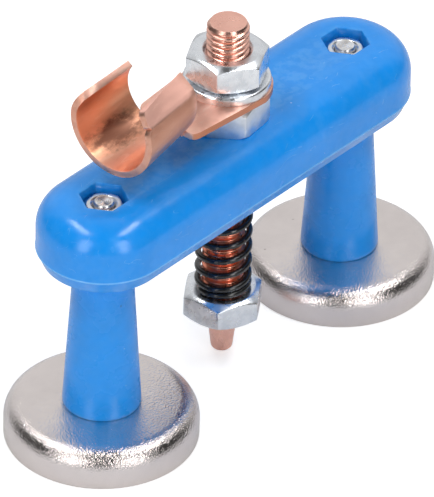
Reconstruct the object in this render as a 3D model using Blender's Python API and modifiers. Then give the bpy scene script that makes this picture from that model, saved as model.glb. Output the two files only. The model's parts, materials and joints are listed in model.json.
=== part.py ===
"""Magnetic ground clamp for arc welding, as separate pieces in metres, +Z up.

Two pot magnets stand under a plastic bridge on plastic legs. A spring-loaded copper
contact rod slides through the middle of the bridge and carries an open cable lug,
clamped between a stop nut and a clamp nut.

The frame's origin is on the plane of the magnets' working faces, midway between the
two magnets. +X runs along the bridge, away from the cable lug's barrel.
"""

import math

import bmesh
import bpy
from mathutils import Matrix, Vector

# Clearances
GAP = 0.0003                     # between faces that rest on each other
SCREW_CLEARANCE = 0.00035        # round each leg screw, on the radius
ROD_CLEARANCE = 0.0005           # round the rod in the bridge and in the lug, on the radius

# Overall sizes
LEG_SPACING = 0.0830             # between the two magnets' centres
BRIDGE_HEIGHT = 0.0486           # underside of the bridge above the working faces
BRIDGE_THICKNESS = 0.0165
BRIDGE_WIDTH = 0.0305
UNDERSIDE_WIDTH = 0.0277         # the lower moulding half tapers in to this
PARTING_HEIGHT = 0.0034          # parting line above the underside
TOP_EDGE_WIDTH = 0.0080          # elliptical rounding of the top edge, across
TOP_EDGE_DEPTH = 0.0078          # and down

# Pot magnets
CUP_DIAMETER = 0.0446
CUP_HEIGHT = 0.0090
CUP_EDGE_RADIUS = 0.0046
CUP_WALL = 0.0028
CUP_FLOOR = 0.0030
CUP_CHAMFER = 0.0003
CUP_INNER_FILLET = 0.0010
POTTING_WIDTH = 0.0013
POLE_DIAMETER = 0.0150
FACE_RECESS = 0.0003             # magnet, pole and potting sit this far inside the rim

# Legs
LEG_FOOT_DIAMETER = 0.0180
LEG_TOP_DIAMETER = 0.0134
SPIGOT_DIAMETER = 0.0090
SPIGOT_HEIGHT = 0.0037
LEG_EDGE_RADIUS = 0.0004

# Leg screws and their nuts, M5
SCREW_DIAMETER = 0.0048
SCREW_HEAD_DIAMETER = 0.0096
SCREW_HEAD_RIM = 0.0003
SCREW_HEAD_RECESS = 0.0005       # head's face above the working plane
SCREW_STANDOUT = 0.0006          # screw's end above its nut
SCREW_POINT_CHAMFER = 0.0004
DRIVE_WIDTH = 0.0010
DRIVE_SPAN = 0.0052              # across the cross at the head's face
DRIVE_ROOT_SPAN = 0.0018
DRIVE_DEPTH = 0.0024
DRIVE_TURN = math.radians(20)
LEG_NUT_FLATS = 0.0080
LEG_NUT_HEIGHT = 0.0040
LEG_NUT_SINK = 0.0018            # nut's top below the bridge's top
POCKET_FLATS = 0.0098

# Rod and its M10 hardware
ROD_DIAMETER = 0.0094
ROD_TOP_CHAMFER = 0.0008
ROD_STANDOUT = 0.0070            # rod's end above the clamp nut
TIP_HEIGHT = 0.0010              # tip above the working plane when the rod is down
TIP_ROOT_DIAMETER = 0.0074
TIP_END_DIAMETER = 0.0049
TIP_END_RADIUS = 0.0012
NUT_FLATS = 0.0170
NUT_HEIGHT = 0.0070              # clamp nut and spring nut
STOP_NUT_HEIGHT = 0.0076
NUT_BORE_MOUTH = 0.0007          # countersink of a nut's bore
NUT_CORNER_ANGLE = math.radians(30)
NUT_FACE_SHARE = 0.91            # flat round face, as a share of the width across flats
STOP_NUT_TURN = math.radians(7)
CLAMP_NUT_TURN = math.radians(27)
SPRING_NUT_TURN = math.radians(35)
WASHER_DIAMETER = 0.0200
WASHER_THICKNESS = 0.0018

# Cable lug, from copper sheet
LUG_SHEET = 0.0016
PALM_RADIUS = 0.0104
PALM_SIDE = 0.0103               # half width where the straight sides leave the round end
PALM_REACH = 0.0208              # from the rod's axis to the palm's square end
PALM_END_SIDE = 0.0084           # half width there
NECK_SIDE = 0.0042               # half width of the strip between palm and barrel
BARREL_START = 0.0209            # from the rod's axis to the barrel's folded side
BARREL_LENGTH = 0.0181           # along the folded side
BARREL_START_SKEW = 0.0035       # the open wing starts this much further out
BARREL_END_SKEW = 0.0030         # and ends this much further out
BARREL_START_RADIUS = 0.0092     # middle of the sheet, next to the palm
BARREL_END_RADIUS = 0.0103       # and at the open end
BARREL_START_OFFSET = 0.0003     # barrel's centre off the rod's plane
BARREL_END_OFFSET = -0.0011
BARREL_DROP = 0.0020             # the floor falls this much towards the open end
WING_START_ANGLE = math.radians(127)   # open wing's edge, from straight down
WING_END_ANGLE = math.radians(131)
CREASE_START_ANGLE = math.radians(109)
CREASE_END_ANGLE = math.radians(113)
FLAP_START_WIDTH = 0.0046        # folded flap, along the sheet
FLAP_END_WIDTH = 0.0034
FLAP_START_TURN = math.radians(44)
FLAP_END_TURN = math.radians(8)

# Spring
SPRING_LENGTH = 0.0301           # space between the bridge and the spring nut
SPRING_WIRE = 0.0015
SPRING_CLEARANCE = 0.0004         # round the rod, on the radius
SPRING_TURNS = 9.7
SPRING_CLOSED_TURNS = 2.1        # close-wound at each end
SPRING_CLOSED_PITCH = 0.0016

# Fineness
ROUND_STEPS = 48
SMALL_STEPS = 24
END_STEPS = 18                   # facets round each end of the bridge
ARC_STEPS = 6
COIL_STEPS = 14                  # points round one turn of the spring
SHEET_STEPS = 24                 # facets round the barrel and the palm's end
FOLD_STEPS = 3
BARREL_ROWS = 4
MERGE = 0.00001
OVERREACH = 1.1                  # a cutter reaches this many times as far as what it trims

# Sizes that follow
SPRING_DIAMETER = ROD_DIAMETER + 2 * (SPRING_CLEARANCE + SPRING_WIRE)
LEG_X = LEG_SPACING / 2
BRIDGE_TOP = BRIDGE_HEIGHT + BRIDGE_THICKNESS
SCREW_BORE = SCREW_DIAMETER / 2 + SCREW_CLEARANCE
LEG_NUT_TOP = BRIDGE_TOP - LEG_NUT_SINK
POCKET_FLOOR = LEG_NUT_TOP - LEG_NUT_HEIGHT - GAP
STOP_NUT_BASE = BRIDGE_TOP + GAP
PALM_BASE = STOP_NUT_BASE + STOP_NUT_HEIGHT + GAP
WASHER_BASE = PALM_BASE + LUG_SHEET + GAP
CLAMP_NUT_BASE = WASHER_BASE + WASHER_THICKNESS + GAP
ROD_TOP = CLAMP_NUT_BASE + NUT_HEIGHT + ROD_STANDOUT
SPRING_NUT_TOP = BRIDGE_HEIGHT - SPRING_LENGTH
SPRING_NUT_BASE = SPRING_NUT_TOP - NUT_HEIGHT
MAGNET_TOP = CUP_HEIGHT - CUP_FLOOR - GAP
CUP_BORE = CUP_DIAMETER / 2 - CUP_WALL


def clear_scene():
    """Remove every object of the starting scene."""
    for item in list(bpy.data.objects):
        bpy.data.objects.remove(item, do_unlink=True)


def new_collection(name):
    """Add a collection to the scene and return it."""
    made = bpy.data.collections.new(name)
    bpy.context.scene.collection.children.link(made)
    return made


def new_material(name, colour, roughness, metallic):
    """Return a Principled BSDF material."""
    made = bpy.data.materials.new(name)
    made.use_nodes = True
    shader = made.node_tree.nodes["Principled BSDF"]
    shader.inputs["Base Color"].default_value = (*colour, 1.0)
    shader.inputs["Roughness"].default_value = roughness
    shader.inputs["Metallic"].default_value = metallic
    return made


clear_scene()
PARTS = new_collection("ground_clamp")
CUTTERS = new_collection("cutters")

BLUE_PLASTIC = new_material("blue_plastic", (0.02, 0.25, 0.82), 0.32, 0.0)
NICKEL = new_material("nickel_plate", (0.66, 0.63, 0.58), 0.30, 1.0)
FERRITE = new_material("ferrite", (0.05, 0.05, 0.055), 0.60, 0.0)
RESIN = new_material("potting_resin", (0.02, 0.02, 0.02), 0.45, 0.0)
ZINC = new_material("zinc_plate", (0.78, 0.80, 0.84), 0.25, 1.0)
COPPER = new_material("copper", (0.90, 0.45, 0.30), 0.28, 1.0)
BLACK_STEEL = new_material("black_spring_steel", (0.02, 0.02, 0.02), 0.25, 0.6)


def add_object(name, data, material=None):
    """Put a mesh or curve into the scene, as a part when it has a material, else as a cutter."""
    made = bpy.data.objects.new(name, data)
    if material is None:
        CUTTERS.objects.link(made)
        made.hide_render = True
        made.display_type = "WIRE"
    else:
        data.materials.append(material)
        PARTS.objects.link(made)
    return made


def arc(centre_r, centre_z, radius, start, end, steps=ARC_STEPS):
    """Points of an arc in the (r, z) plane, from one angle to another in degrees."""
    angles = [math.radians(start + (end - start) * i / steps) for i in range(steps + 1)]
    return [(centre_r + radius * math.cos(a), centre_z + radius * math.sin(a)) for a in angles]


def turned(name, profile, material=None, x=0.0, closed=False, steps=ROUND_STEPS):
    """Turn an (r, z) profile about the vertical axis at x. A closed profile makes a ring."""
    points = [(r, 0.0, z) for r, z in profile]
    edges = [(i, i + 1) for i in range(len(points) - 1)]
    if closed:
        edges.append((len(points) - 1, 0))
    data = bpy.data.meshes.new(name)
    data.from_pydata(points, edges, [])
    made = add_object(name, data, material)
    made.location.x = x
    screw = made.modifiers.new("turn", "SCREW")
    screw.axis = "Z"
    screw.angle = math.tau
    screw.steps = steps
    screw.render_steps = steps
    screw.use_merge_vertices = True
    screw.merge_threshold = MERGE
    screw.use_smooth_shade = False
    return made


def cylinder_cutter(name, radius, low, high, x=0.0, steps=SMALL_STEPS):
    """A round cutter between two levels."""
    profile = [(0.0, high), (radius, high), (radius, low), (0.0, low)]
    return turned(name, profile, x=x, steps=steps)


def prism(name, flats, low, high, turn=0.0, material=None, x=0.0):
    """A hexagonal prism with a corner at the angle turn from +X."""
    corner = flats / 2 / math.cos(math.pi / 6)
    shape = bmesh.new()
    turned_to_x = Matrix.Rotation(turn + math.pi / 2, 4, "Z")
    place = Matrix.Translation((0, 0, (low + high) / 2)) @ turned_to_x
    bmesh.ops.create_cone(shape, cap_ends=True, segments=6, radius1=corner, radius2=corner,
                          depth=high - low, matrix=place)
    data = bpy.data.meshes.new(name)
    shape.to_mesh(data)
    shape.free()
    made = add_object(name, data, material)
    made.location.x = x
    return made


def combine(target, tool, operation):
    """Cut, intersect or join a target with a tool object."""
    step = target.modifiers.new(tool.name, "BOOLEAN")
    step.operation = operation
    step.object = tool
    step.solver = "EXACT"


def stadium(radius, half_length, z):
    """Points round a slot-shaped outline whose round ends are centred at +-half_length."""
    points = []
    for side in (1, -1):
        for i in range(END_STEPS + 1):
            angle = math.pi * i / END_STEPS - side * math.pi / 2
            points.append(Vector((side * half_length + radius * math.cos(angle),
                                  radius * math.sin(angle), z)))
    return points


def lofted(name, rings, material=None):
    """Skin a stack of equal-length closed rings, bottom first, and close both ends."""
    shape = bmesh.new()
    loops = [[shape.verts.new(point) for point in ring] for ring in rings]
    count = len(rings[0])
    for lower, upper in zip(loops, loops[1:]):
        for i in range(count):
            j = (i + 1) % count
            shape.faces.new((lower[i], lower[j], upper[j], upper[i]))
    caps = [shape.faces.new(list(reversed(loops[0]))), shape.faces.new(loops[-1])]
    bmesh.ops.triangulate(shape, faces=caps)
    data = bpy.data.meshes.new(name)
    shape.to_mesh(data)
    shape.free()
    return add_object(name, data, material)


def bridge_levels():
    """End radius and height of each ring of the bridge, bottom first."""
    half = BRIDGE_WIDTH / 2
    low = BRIDGE_HEIGHT
    edge = LEG_EDGE_RADIUS
    levels = [(UNDERSIDE_WIDTH / 2 - edge, low), (UNDERSIDE_WIDTH / 2, low + edge)]
    levels.append((half, low + PARTING_HEIGHT))
    for i in range(ARC_STEPS + 3):
        angle = math.pi / 2 * i / (ARC_STEPS + 2)
        levels.append((half - TOP_EDGE_WIDTH * (1 - math.cos(angle)),
                       BRIDGE_TOP - TOP_EDGE_DEPTH * (1 - math.sin(angle))))
    return levels


def build_bridge():
    """The bridge, with the rod's bore, the screws' bores, the nut pockets and leg sockets."""
    rings = [stadium(radius, LEG_X, z) for radius, z in bridge_levels()]
    bridge = lofted("bridge", rings, BLUE_PLASTIC)
    low = BRIDGE_HEIGHT - BRIDGE_THICKNESS
    high = BRIDGE_TOP + BRIDGE_THICKNESS
    rod_bore = cylinder_cutter("rod_bore", ROD_DIAMETER / 2 + ROD_CLEARANCE, low, high)
    combine(bridge, rod_bore, "DIFFERENCE")
    for side, x in (("left", -LEG_X), ("right", LEG_X)):
        socket_top = BRIDGE_HEIGHT + SPIGOT_HEIGHT + GAP
        socket = cylinder_cutter("socket_" + side, SPIGOT_DIAMETER / 2 + GAP, low, socket_top, x)
        bore = cylinder_cutter("screw_bore_" + side, SCREW_BORE, low, high, x)
        pocket = prism("pocket_" + side, POCKET_FLATS, POCKET_FLOOR, high, x=x)
        for cutter in (pocket, socket, bore):
            combine(bridge, cutter, "DIFFERENCE")


def build_leg(side, x):
    """A tapered leg with a spigot that locates it in the bridge."""
    top = BRIDGE_HEIGHT - GAP
    foot = CUP_HEIGHT + GAP
    edge = LEG_EDGE_RADIUS
    profile = [(SPIGOT_DIAMETER / 2 - edge, top + SPIGOT_HEIGHT),
               (SPIGOT_DIAMETER / 2, top + SPIGOT_HEIGHT - edge),
               (SPIGOT_DIAMETER / 2, top),
               (LEG_TOP_DIAMETER / 2 - edge, top),
               (LEG_TOP_DIAMETER / 2, top - edge),
               (LEG_FOOT_DIAMETER / 2, foot + edge),
               (LEG_FOOT_DIAMETER / 2 - edge, foot),
               (SCREW_BORE, foot),
               (SCREW_BORE, top + SPIGOT_HEIGHT)]
    turned("leg_" + side, profile, BLUE_PLASTIC, x, closed=True)


def build_magnet(side, x):
    """A pot magnet: steel cup, ring magnet, centre pole and the potting between them."""
    outer = CUP_DIAMETER / 2
    edge = CUP_EDGE_RADIUS
    fillet = CUP_INNER_FILLET
    inside = CUP_HEIGHT - CUP_FLOOR
    profile = arc(outer - edge, CUP_HEIGHT - edge, edge, 90, 0)
    profile += [(outer, CUP_CHAMFER), (outer - CUP_CHAMFER, 0.0),
                (CUP_BORE + CUP_CHAMFER, 0.0), (CUP_BORE, CUP_CHAMFER)]
    profile += arc(CUP_BORE - fillet, inside - fillet, fillet, 0, 90, steps=3)
    profile += [(SCREW_BORE, inside), (SCREW_BORE, CUP_HEIGHT)]
    turned("magnet_cup_" + side, profile, NICKEL, x, closed=True)

    low = FACE_RECESS
    pole = POLE_DIAMETER / 2
    potting_outer = CUP_BORE - GAP
    potting_top = MAGNET_TOP - fillet
    potting_inner = potting_outer - POTTING_WIDTH
    magnet_outer = potting_inner - GAP
    build_ring("potting_ring_" + side, potting_inner, potting_outer, low, potting_top, RESIN, x)
    build_ring("ring_magnet_" + side, pole + GAP, magnet_outer, low, MAGNET_TOP, FERRITE, x)

    neck = screw_neck() + GAP * math.sqrt(2)
    mouth = SCREW_DIAMETER / 2 + neck - low
    seat = neck - SCREW_CLEARANCE
    profile = [(pole, MAGNET_TOP), (pole, low), (mouth, low), (SCREW_BORE, seat),
               (SCREW_BORE, MAGNET_TOP)]
    turned("centre_pole_" + side, profile, NICKEL, x, closed=True)


def build_ring(name, inner, outer, low, high, material, x):
    """A plain ring of rectangular section."""
    profile = [(outer, high), (outer, low), (inner, low), (inner, high)]
    return turned(name, profile, material, x, closed=True)


def screw_neck():
    """Height at which a leg screw's countersunk head meets its shank."""
    head_flare = (SCREW_HEAD_DIAMETER - SCREW_DIAMETER) / 2
    return SCREW_HEAD_RECESS + SCREW_HEAD_RIM + head_flare


def build_leg_screw(side, x):
    """A countersunk screw, head down, with a cross drive in its face."""
    end = LEG_NUT_TOP + SCREW_STANDOUT
    shank = SCREW_DIAMETER / 2
    head = SCREW_HEAD_DIAMETER / 2
    profile = [(0.0, end), (shank - SCREW_POINT_CHAMFER, end),
               (shank, end - SCREW_POINT_CHAMFER), (shank, screw_neck()),
               (head, SCREW_HEAD_RECESS + SCREW_HEAD_RIM), (head, SCREW_HEAD_RECESS),
               (0.0, SCREW_HEAD_RECESS)]
    screw = turned("leg_screw_" + side, profile, ZINC, x, steps=SMALL_STEPS)
    rings = []
    for share, z in ((1.0, SCREW_HEAD_RECESS - DRIVE_DEPTH), (0.0, SCREW_HEAD_RECESS + DRIVE_DEPTH)):
        span = DRIVE_ROOT_SPAN + (2 * DRIVE_SPAN - DRIVE_ROOT_SPAN) * share
        rings.append([Vector((px, py, z)) for px, py in cross_outline(span / 2, DRIVE_WIDTH / 2)])
    drive = lofted("drive_" + side, rings)
    drive.location.x = x
    drive.rotation_euler.z = DRIVE_TURN
    combine(screw, drive, "DIFFERENCE")


def cross_outline(reach, half_width):
    """Outline of a cross with four equal arms, counter-clockwise."""
    arm = [(half_width, -half_width), (reach, -half_width), (reach, half_width)]
    points = []
    for quarter in range(4):
        angle = quarter * math.pi / 2
        cosine = math.cos(angle)
        sine = math.sin(angle)
        points += [(px * cosine - py * sine, px * sine + py * cosine) for px, py in arm]
    return points


def build_nut(name, flats, height, base, bore, turn, x=0.0):
    """A hexagon nut with chamfered corners at both ends and a countersunk bore."""
    top = base + height
    nut = prism(name, flats, base, top, turn, ZINC, x)
    corner = flats / 2 / math.cos(math.pi / 6)
    flat_radius = flats / 2 * NUT_FACE_SHARE
    reach = corner * OVERREACH
    drop = (reach - flat_radius) * math.tan(NUT_CORNER_ANGLE)
    profile = [(0.0, top), (flat_radius, top), (reach, top - drop), (reach, base + drop),
               (flat_radius, base), (0.0, base)]
    envelope = turned(name + "_envelope", profile, x=x, steps=SMALL_STEPS)
    combine(nut, envelope, "INTERSECT")
    mouth = bore + NUT_BORE_MOUTH
    over = NUT_BORE_MOUTH
    profile = [(0.0, top + over), (mouth + over, top + over), (bore, top - over),
               (bore, base + over), (mouth + over, base - over), (0.0, base - over)]
    hole = turned(name + "_hole", profile, x=x, steps=SMALL_STEPS)
    combine(nut, hole, "DIFFERENCE")
    return nut


def build_rod():
    """The contact rod, with a chamfered top and a tapered contact tip."""
    radius = ROD_DIAMETER / 2
    root = TIP_ROOT_DIAMETER / 2
    end = TIP_END_DIAMETER / 2
    shoulder = SPRING_NUT_BASE + GAP
    profile = [(0.0, ROD_TOP), (radius - ROD_TOP_CHAMFER, ROD_TOP),
               (radius, ROD_TOP - ROD_TOP_CHAMFER), (radius, shoulder + radius - root),
               (root, shoulder)]
    profile += arc(end - TIP_END_RADIUS, TIP_HEIGHT + TIP_END_RADIUS, TIP_END_RADIUS, 0, -90)
    profile.append((0.0, TIP_HEIGHT))
    turned("contact_rod", profile, COPPER, steps=SMALL_STEPS)


def palm_outline():
    """The palm's outline: a round end, straight sides and a square end."""
    limit = math.asin(PALM_SIDE / PALM_RADIUS)
    steps = SHEET_STEPS
    angles = [limit * (2 * i / steps - 1) for i in range(steps + 1)]
    points = [(PALM_RADIUS * math.cos(a), PALM_RADIUS * math.sin(a)) for a in angles]
    return points + [(-PALM_REACH, PALM_END_SIDE), (-PALM_REACH, -PALM_END_SIDE)]


def between(first, last, share):
    """A value part of the way from first to last."""
    return first + (last - first) * share


def barrel_section(share):
    """Middle line of the barrel's section as (y, z), from the open wing round to the flap.

    share is 0 next to the palm and 1 at the open end.
    """
    radius = between(BARREL_START_RADIUS, BARREL_END_RADIUS, share)
    offset = between(BARREL_START_OFFSET, BARREL_END_OFFSET, share)
    centre = PALM_BASE + LUG_SHEET / 2 - BARREL_DROP * share + radius
    wing = between(WING_START_ANGLE, WING_END_ANGLE, share)
    crease = between(CREASE_START_ANGLE, CREASE_END_ANGLE, share)
    turn = between(FLAP_START_TURN, FLAP_END_TURN, share)
    width = between(FLAP_START_WIDTH, FLAP_END_WIDTH, share)
    points = []
    for i in range(SHEET_STEPS + 1):
        angle = between(wing, -crease, i / SHEET_STEPS)
        points.append((offset + radius * math.sin(angle), centre - radius * math.cos(angle)))
    heading = math.pi - crease
    y, z = points[-1]
    for i in range(FOLD_STEPS):
        middle = heading - turn * (i + 0.5) / FOLD_STEPS
        y += LUG_SHEET / FOLD_STEPS * math.cos(middle)
        z += LUG_SHEET / FOLD_STEPS * math.sin(middle)
        points.append((y, z))
    heading -= turn
    points.append((y + width * math.cos(heading), z + width * math.sin(heading)))
    return points


def sheet(name, rows, material=None):
    """A surface through rows of points, thickened both ways to the lug's sheet."""
    shape = bmesh.new()
    grid = [[shape.verts.new(point) for point in row] for row in rows]
    for first, second in zip(grid, grid[1:]):
        for i in range(len(first) - 1):
            shape.faces.new((first[i], first[i + 1], second[i + 1], second[i]))
    data = bpy.data.meshes.new(name)
    shape.to_mesh(data)
    shape.free()
    made = add_object(name, data, material)
    wall = made.modifiers.new("wall", "SOLIDIFY")
    wall.thickness = LUG_SHEET
    wall.offset = 0.0
    wall.use_even_offset = True
    return made


def build_lug():
    """The cable lug: flat palm on the rod, a neck, and a barrel left open for the cable."""
    rows = []
    for i in range(BARREL_ROWS + 1):
        share = i / BARREL_ROWS
        section = barrel_section(share)
        last = len(section) - 1
        row = []
        for j, (y, z) in enumerate(section):
            start = BARREL_START + BARREL_START_SKEW * (1 - j / last)
            end = BARREL_START + BARREL_LENGTH + BARREL_END_SKEW * (1 - j / last)
            row.append((-between(start, end, share), y, z))
        rows.append(row)
    lug = sheet("cable_lug", rows, COPPER)

    middle = PALM_BASE + LUG_SHEET / 2
    palm_rings = [[Vector((x, y, z)) for x, y in palm_outline()]
                  for z in (PALM_BASE, PALM_BASE + LUG_SHEET)]
    combine(lug, lofted("palm", palm_rings), "UNION")
    reach = BARREL_START + BARREL_START_SKEW + LUG_SHEET
    neck_rows = [[(-x, side * NECK_SIDE, middle) for side in (1, 0, -1)]
                 for x in (PALM_REACH - LUG_SHEET, reach)]
    combine(lug, sheet("neck", neck_rows), "UNION")
    hole_radius = ROD_DIAMETER / 2 + ROD_CLEARANCE
    hole = cylinder_cutter("palm_hole", hole_radius, PALM_BASE - LUG_SHEET,
                           PALM_BASE + 2 * LUG_SHEET)
    combine(lug, hole, "DIFFERENCE")


def build_spring():
    """The compression spring, close-wound at both ends, round the rod under the bridge."""
    low = SPRING_NUT_TOP + GAP + SPRING_WIRE / 2
    high = BRIDGE_HEIGHT - GAP - SPRING_WIRE / 2
    closed_rise = SPRING_CLOSED_TURNS * SPRING_CLOSED_PITCH
    open_turns = SPRING_TURNS - 2 * SPRING_CLOSED_TURNS
    open_rise = high - low - 2 * closed_rise
    radius = (SPRING_DIAMETER - SPRING_WIRE) / 2
    count = round(SPRING_TURNS * COIL_STEPS)
    points = []
    for i in range(count + 1):
        turn = SPRING_TURNS * i / count
        beyond = min(max(turn - SPRING_CLOSED_TURNS, 0.0), open_turns)
        closed = turn - beyond
        z = low + closed * SPRING_CLOSED_PITCH + beyond / open_turns * open_rise
        angle = math.tau * turn
        points.append((radius * math.cos(angle), radius * math.sin(angle), z))
    data = bpy.data.curves.new("spring", "CURVE")
    data.dimensions = "3D"
    data.bevel_depth = SPRING_WIRE / 2
    data.bevel_resolution = 2
    data.use_fill_caps = True
    line = data.splines.new("POLY")
    line.points.add(len(points) - 1)
    for point, place in zip(line.points, points):
        point.co = (*place, 1.0)
    add_object("spring", data, BLACK_STEEL)


def build_rod_hardware():
    """The three nuts and the washer on the rod."""
    bore = ROD_DIAMETER / 2 + GAP
    build_nut("stop_nut", NUT_FLATS, STOP_NUT_HEIGHT, STOP_NUT_BASE, bore, STOP_NUT_TURN)
    build_nut("clamp_nut", NUT_FLATS, NUT_HEIGHT, CLAMP_NUT_BASE, bore, CLAMP_NUT_TURN)
    build_nut("spring_nut", NUT_FLATS, NUT_HEIGHT, SPRING_NUT_BASE, bore, SPRING_NUT_TURN)
    build_ring("flat_washer", ROD_DIAMETER / 2 + ROD_CLEARANCE, WASHER_DIAMETER / 2,
               WASHER_BASE, WASHER_BASE + WASHER_THICKNESS, ZINC, 0.0)


def build_legs():
    """Both legs with their magnets, screws and nuts."""
    bore = SCREW_DIAMETER / 2 + GAP
    base = LEG_NUT_TOP - LEG_NUT_HEIGHT
    for side, x in (("left", -LEG_X), ("right", LEG_X)):
        build_leg(side, x)
        build_magnet(side, x)
        build_leg_screw(side, x)
        build_nut("leg_nut_" + side, LEG_NUT_FLATS, LEG_NUT_HEIGHT, base, bore, 0.0, x)


build_bridge()
build_legs()
build_rod()
build_rod_hardware()
build_lug()
build_spring()
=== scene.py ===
"""Visual model of a magnetic ground clamp for arc welding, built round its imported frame.

Two pot magnets carry plastic legs and a bridge. A spring-loaded copper contact rod stands
in the bridge and holds an open cable lug between a stop nut and a clamp nut. All sizes are
in metres, in the frame's own axes. Every new piece is a surface worked out with numpy.
"""

import json
import logging
import math
from dataclasses import dataclass
from enum import Enum

import bmesh
import bpy
import numpy as np
from mathutils import Matrix, Vector

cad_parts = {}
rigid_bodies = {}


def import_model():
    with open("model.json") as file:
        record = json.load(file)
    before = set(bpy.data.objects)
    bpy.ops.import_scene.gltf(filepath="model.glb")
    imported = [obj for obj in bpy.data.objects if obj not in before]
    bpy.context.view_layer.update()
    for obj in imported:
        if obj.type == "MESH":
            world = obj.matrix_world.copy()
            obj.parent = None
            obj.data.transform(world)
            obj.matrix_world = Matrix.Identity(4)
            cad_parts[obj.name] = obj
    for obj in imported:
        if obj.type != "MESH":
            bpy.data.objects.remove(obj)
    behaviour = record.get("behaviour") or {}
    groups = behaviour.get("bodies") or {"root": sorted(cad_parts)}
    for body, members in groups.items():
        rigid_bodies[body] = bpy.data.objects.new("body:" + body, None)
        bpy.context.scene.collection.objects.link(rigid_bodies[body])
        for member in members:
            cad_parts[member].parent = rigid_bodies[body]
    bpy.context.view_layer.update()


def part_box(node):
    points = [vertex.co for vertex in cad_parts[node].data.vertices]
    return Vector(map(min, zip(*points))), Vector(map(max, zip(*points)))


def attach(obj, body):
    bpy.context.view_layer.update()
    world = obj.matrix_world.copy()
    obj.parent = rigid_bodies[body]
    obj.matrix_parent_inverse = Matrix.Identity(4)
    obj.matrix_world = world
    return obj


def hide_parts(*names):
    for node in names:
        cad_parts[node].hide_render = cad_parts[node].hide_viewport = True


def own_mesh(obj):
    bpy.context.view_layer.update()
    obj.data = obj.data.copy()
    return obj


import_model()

LOG = logging.getLogger("ground_clamp")
MERGE_DISTANCE = 1e-7
SHARP_ANGLE = math.radians(38)
ROUND = 128
GAP = 0.0003                # between two of the frame's nodes that rest on each other
SHEET = 0.0016              # the lug's copper
ROD_HOLE = 0.0052           # radius of the holes that the rod passes through
ROD_NUT_FLATS = 0.0170
ROD_NUT_BORE = 0.0049
LEG_NUT_FLATS = 0.0080
LEG_NUT_BORE = 0.0025
STOP_NUT_TURN = math.radians(7)
SPRING_NUT_TURN = math.radians(35)
CLAMP_NUT_TURN = math.radians(27)
SIDES = (("left", -1), ("right", 1))


class Body(Enum):
    """The frame's bodies that the pieces ride on."""

    BASE = "base"
    SPRING = "spring"
    ROD = "rod"
    LUG = "lug"
    WASHER = "washer"
    CLAMP_NUT = "clamp_nut"


class Slot(Enum):
    """The record's material slots."""

    BLUE = "blue_plastic"
    NICKEL = "nickel_plate"
    FERRITE = "ferrite"
    RESIN = "potting_resin"
    ZINC = "zinc_plate"
    COPPER = "copper"
    SPRING = "spring_steel"


# Meshes


def quads(rows: int, columns: int, wrap_rows: bool = False, wrap_columns: bool = False) -> np.ndarray:
    """Corner numbers of a grid's faces, where point (i, j) is number i * columns + j.

    Args:
        rows: number of rows of points.
        columns: number of points in a row.
        wrap_rows: join the last row to the first.
        wrap_columns: join the end of each row to its start.

    Returns:
        One row of four point numbers for each face.
    """
    i, j = np.meshgrid(
        np.arange(rows if wrap_rows else rows - 1),
        np.arange(columns if wrap_columns else columns - 1),
        indexing="ij",
    )
    k, m = (i + 1) % rows, (j + 1) % columns
    corners = (i * columns + j, k * columns + j, k * columns + m, i * columns + m)
    return np.stack(corners, axis=-1).reshape(-1, 4)


def mesh_object(name: str, points: np.ndarray, faces: list) -> bpy.types.Object:
    """Make a mesh object, with doubled points merged and faces turned outwards.

    Args:
        name: the object's name.
        points: positions, with x, y and z on the last axis.
        faces: lists of point numbers.

    Returns:
        The new object, at the origin.
    """
    mesh = bpy.data.meshes.new(name)
    mesh.from_pydata(points.reshape(-1, 3).tolist(), [], faces)
    shape = bmesh.new()
    shape.from_mesh(mesh)
    bmesh.ops.remove_doubles(shape, verts=shape.verts, dist=MERGE_DISTANCE)
    bmesh.ops.recalc_face_normals(shape, faces=shape.faces)
    shape.to_mesh(mesh)
    shape.free()
    made = bpy.data.objects.new(name, mesh)
    bpy.context.scene.collection.objects.link(made)
    return made


def settle(piece: bpy.types.Object) -> None:
    """Apply a piece's modifiers to its mesh.

    Args:
        piece: the object, which keeps its name and place.
    """
    bpy.context.view_layer.update()
    solved = piece.evaluated_get(bpy.context.evaluated_depsgraph_get())
    rough = piece.data
    piece.data = bpy.data.meshes.new_from_object(solved)
    piece.modifiers.clear()
    bpy.data.meshes.remove(rough)


def bevel(piece: bpy.types.Object, width: float, segments: int = 2, angle: float = 25.0) -> None:
    """Round a piece's sharp edges and apply the rounding.

    Args:
        piece: the object to round.
        width: width of the rounding, in metres.
        segments: facets across the rounding.
        angle: least angle of an edge that is rounded, in degrees.
    """
    step = piece.modifiers.new("edges", "BEVEL")
    step.width = width
    step.segments = segments
    step.limit_method = "ANGLE"
    step.angle_limit = math.radians(angle)
    step.harden_normals = False
    settle(piece)


def cut(piece: bpy.types.Object, cutters: list[bpy.types.Object]) -> None:
    """Take cutters away from a piece, apply the cuts and remove the cutters.

    Args:
        piece: the object that is cut.
        cutters: closed objects, each cut in turn.
    """
    for cutter in cutters:
        step = piece.modifiers.new(cutter.name, "BOOLEAN")
        step.operation = "DIFFERENCE"
        step.solver = "EXACT"
        step.object = cutter
    settle(piece)
    for cutter in cutters:
        bpy.data.objects.remove(cutter, do_unlink=True)


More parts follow.
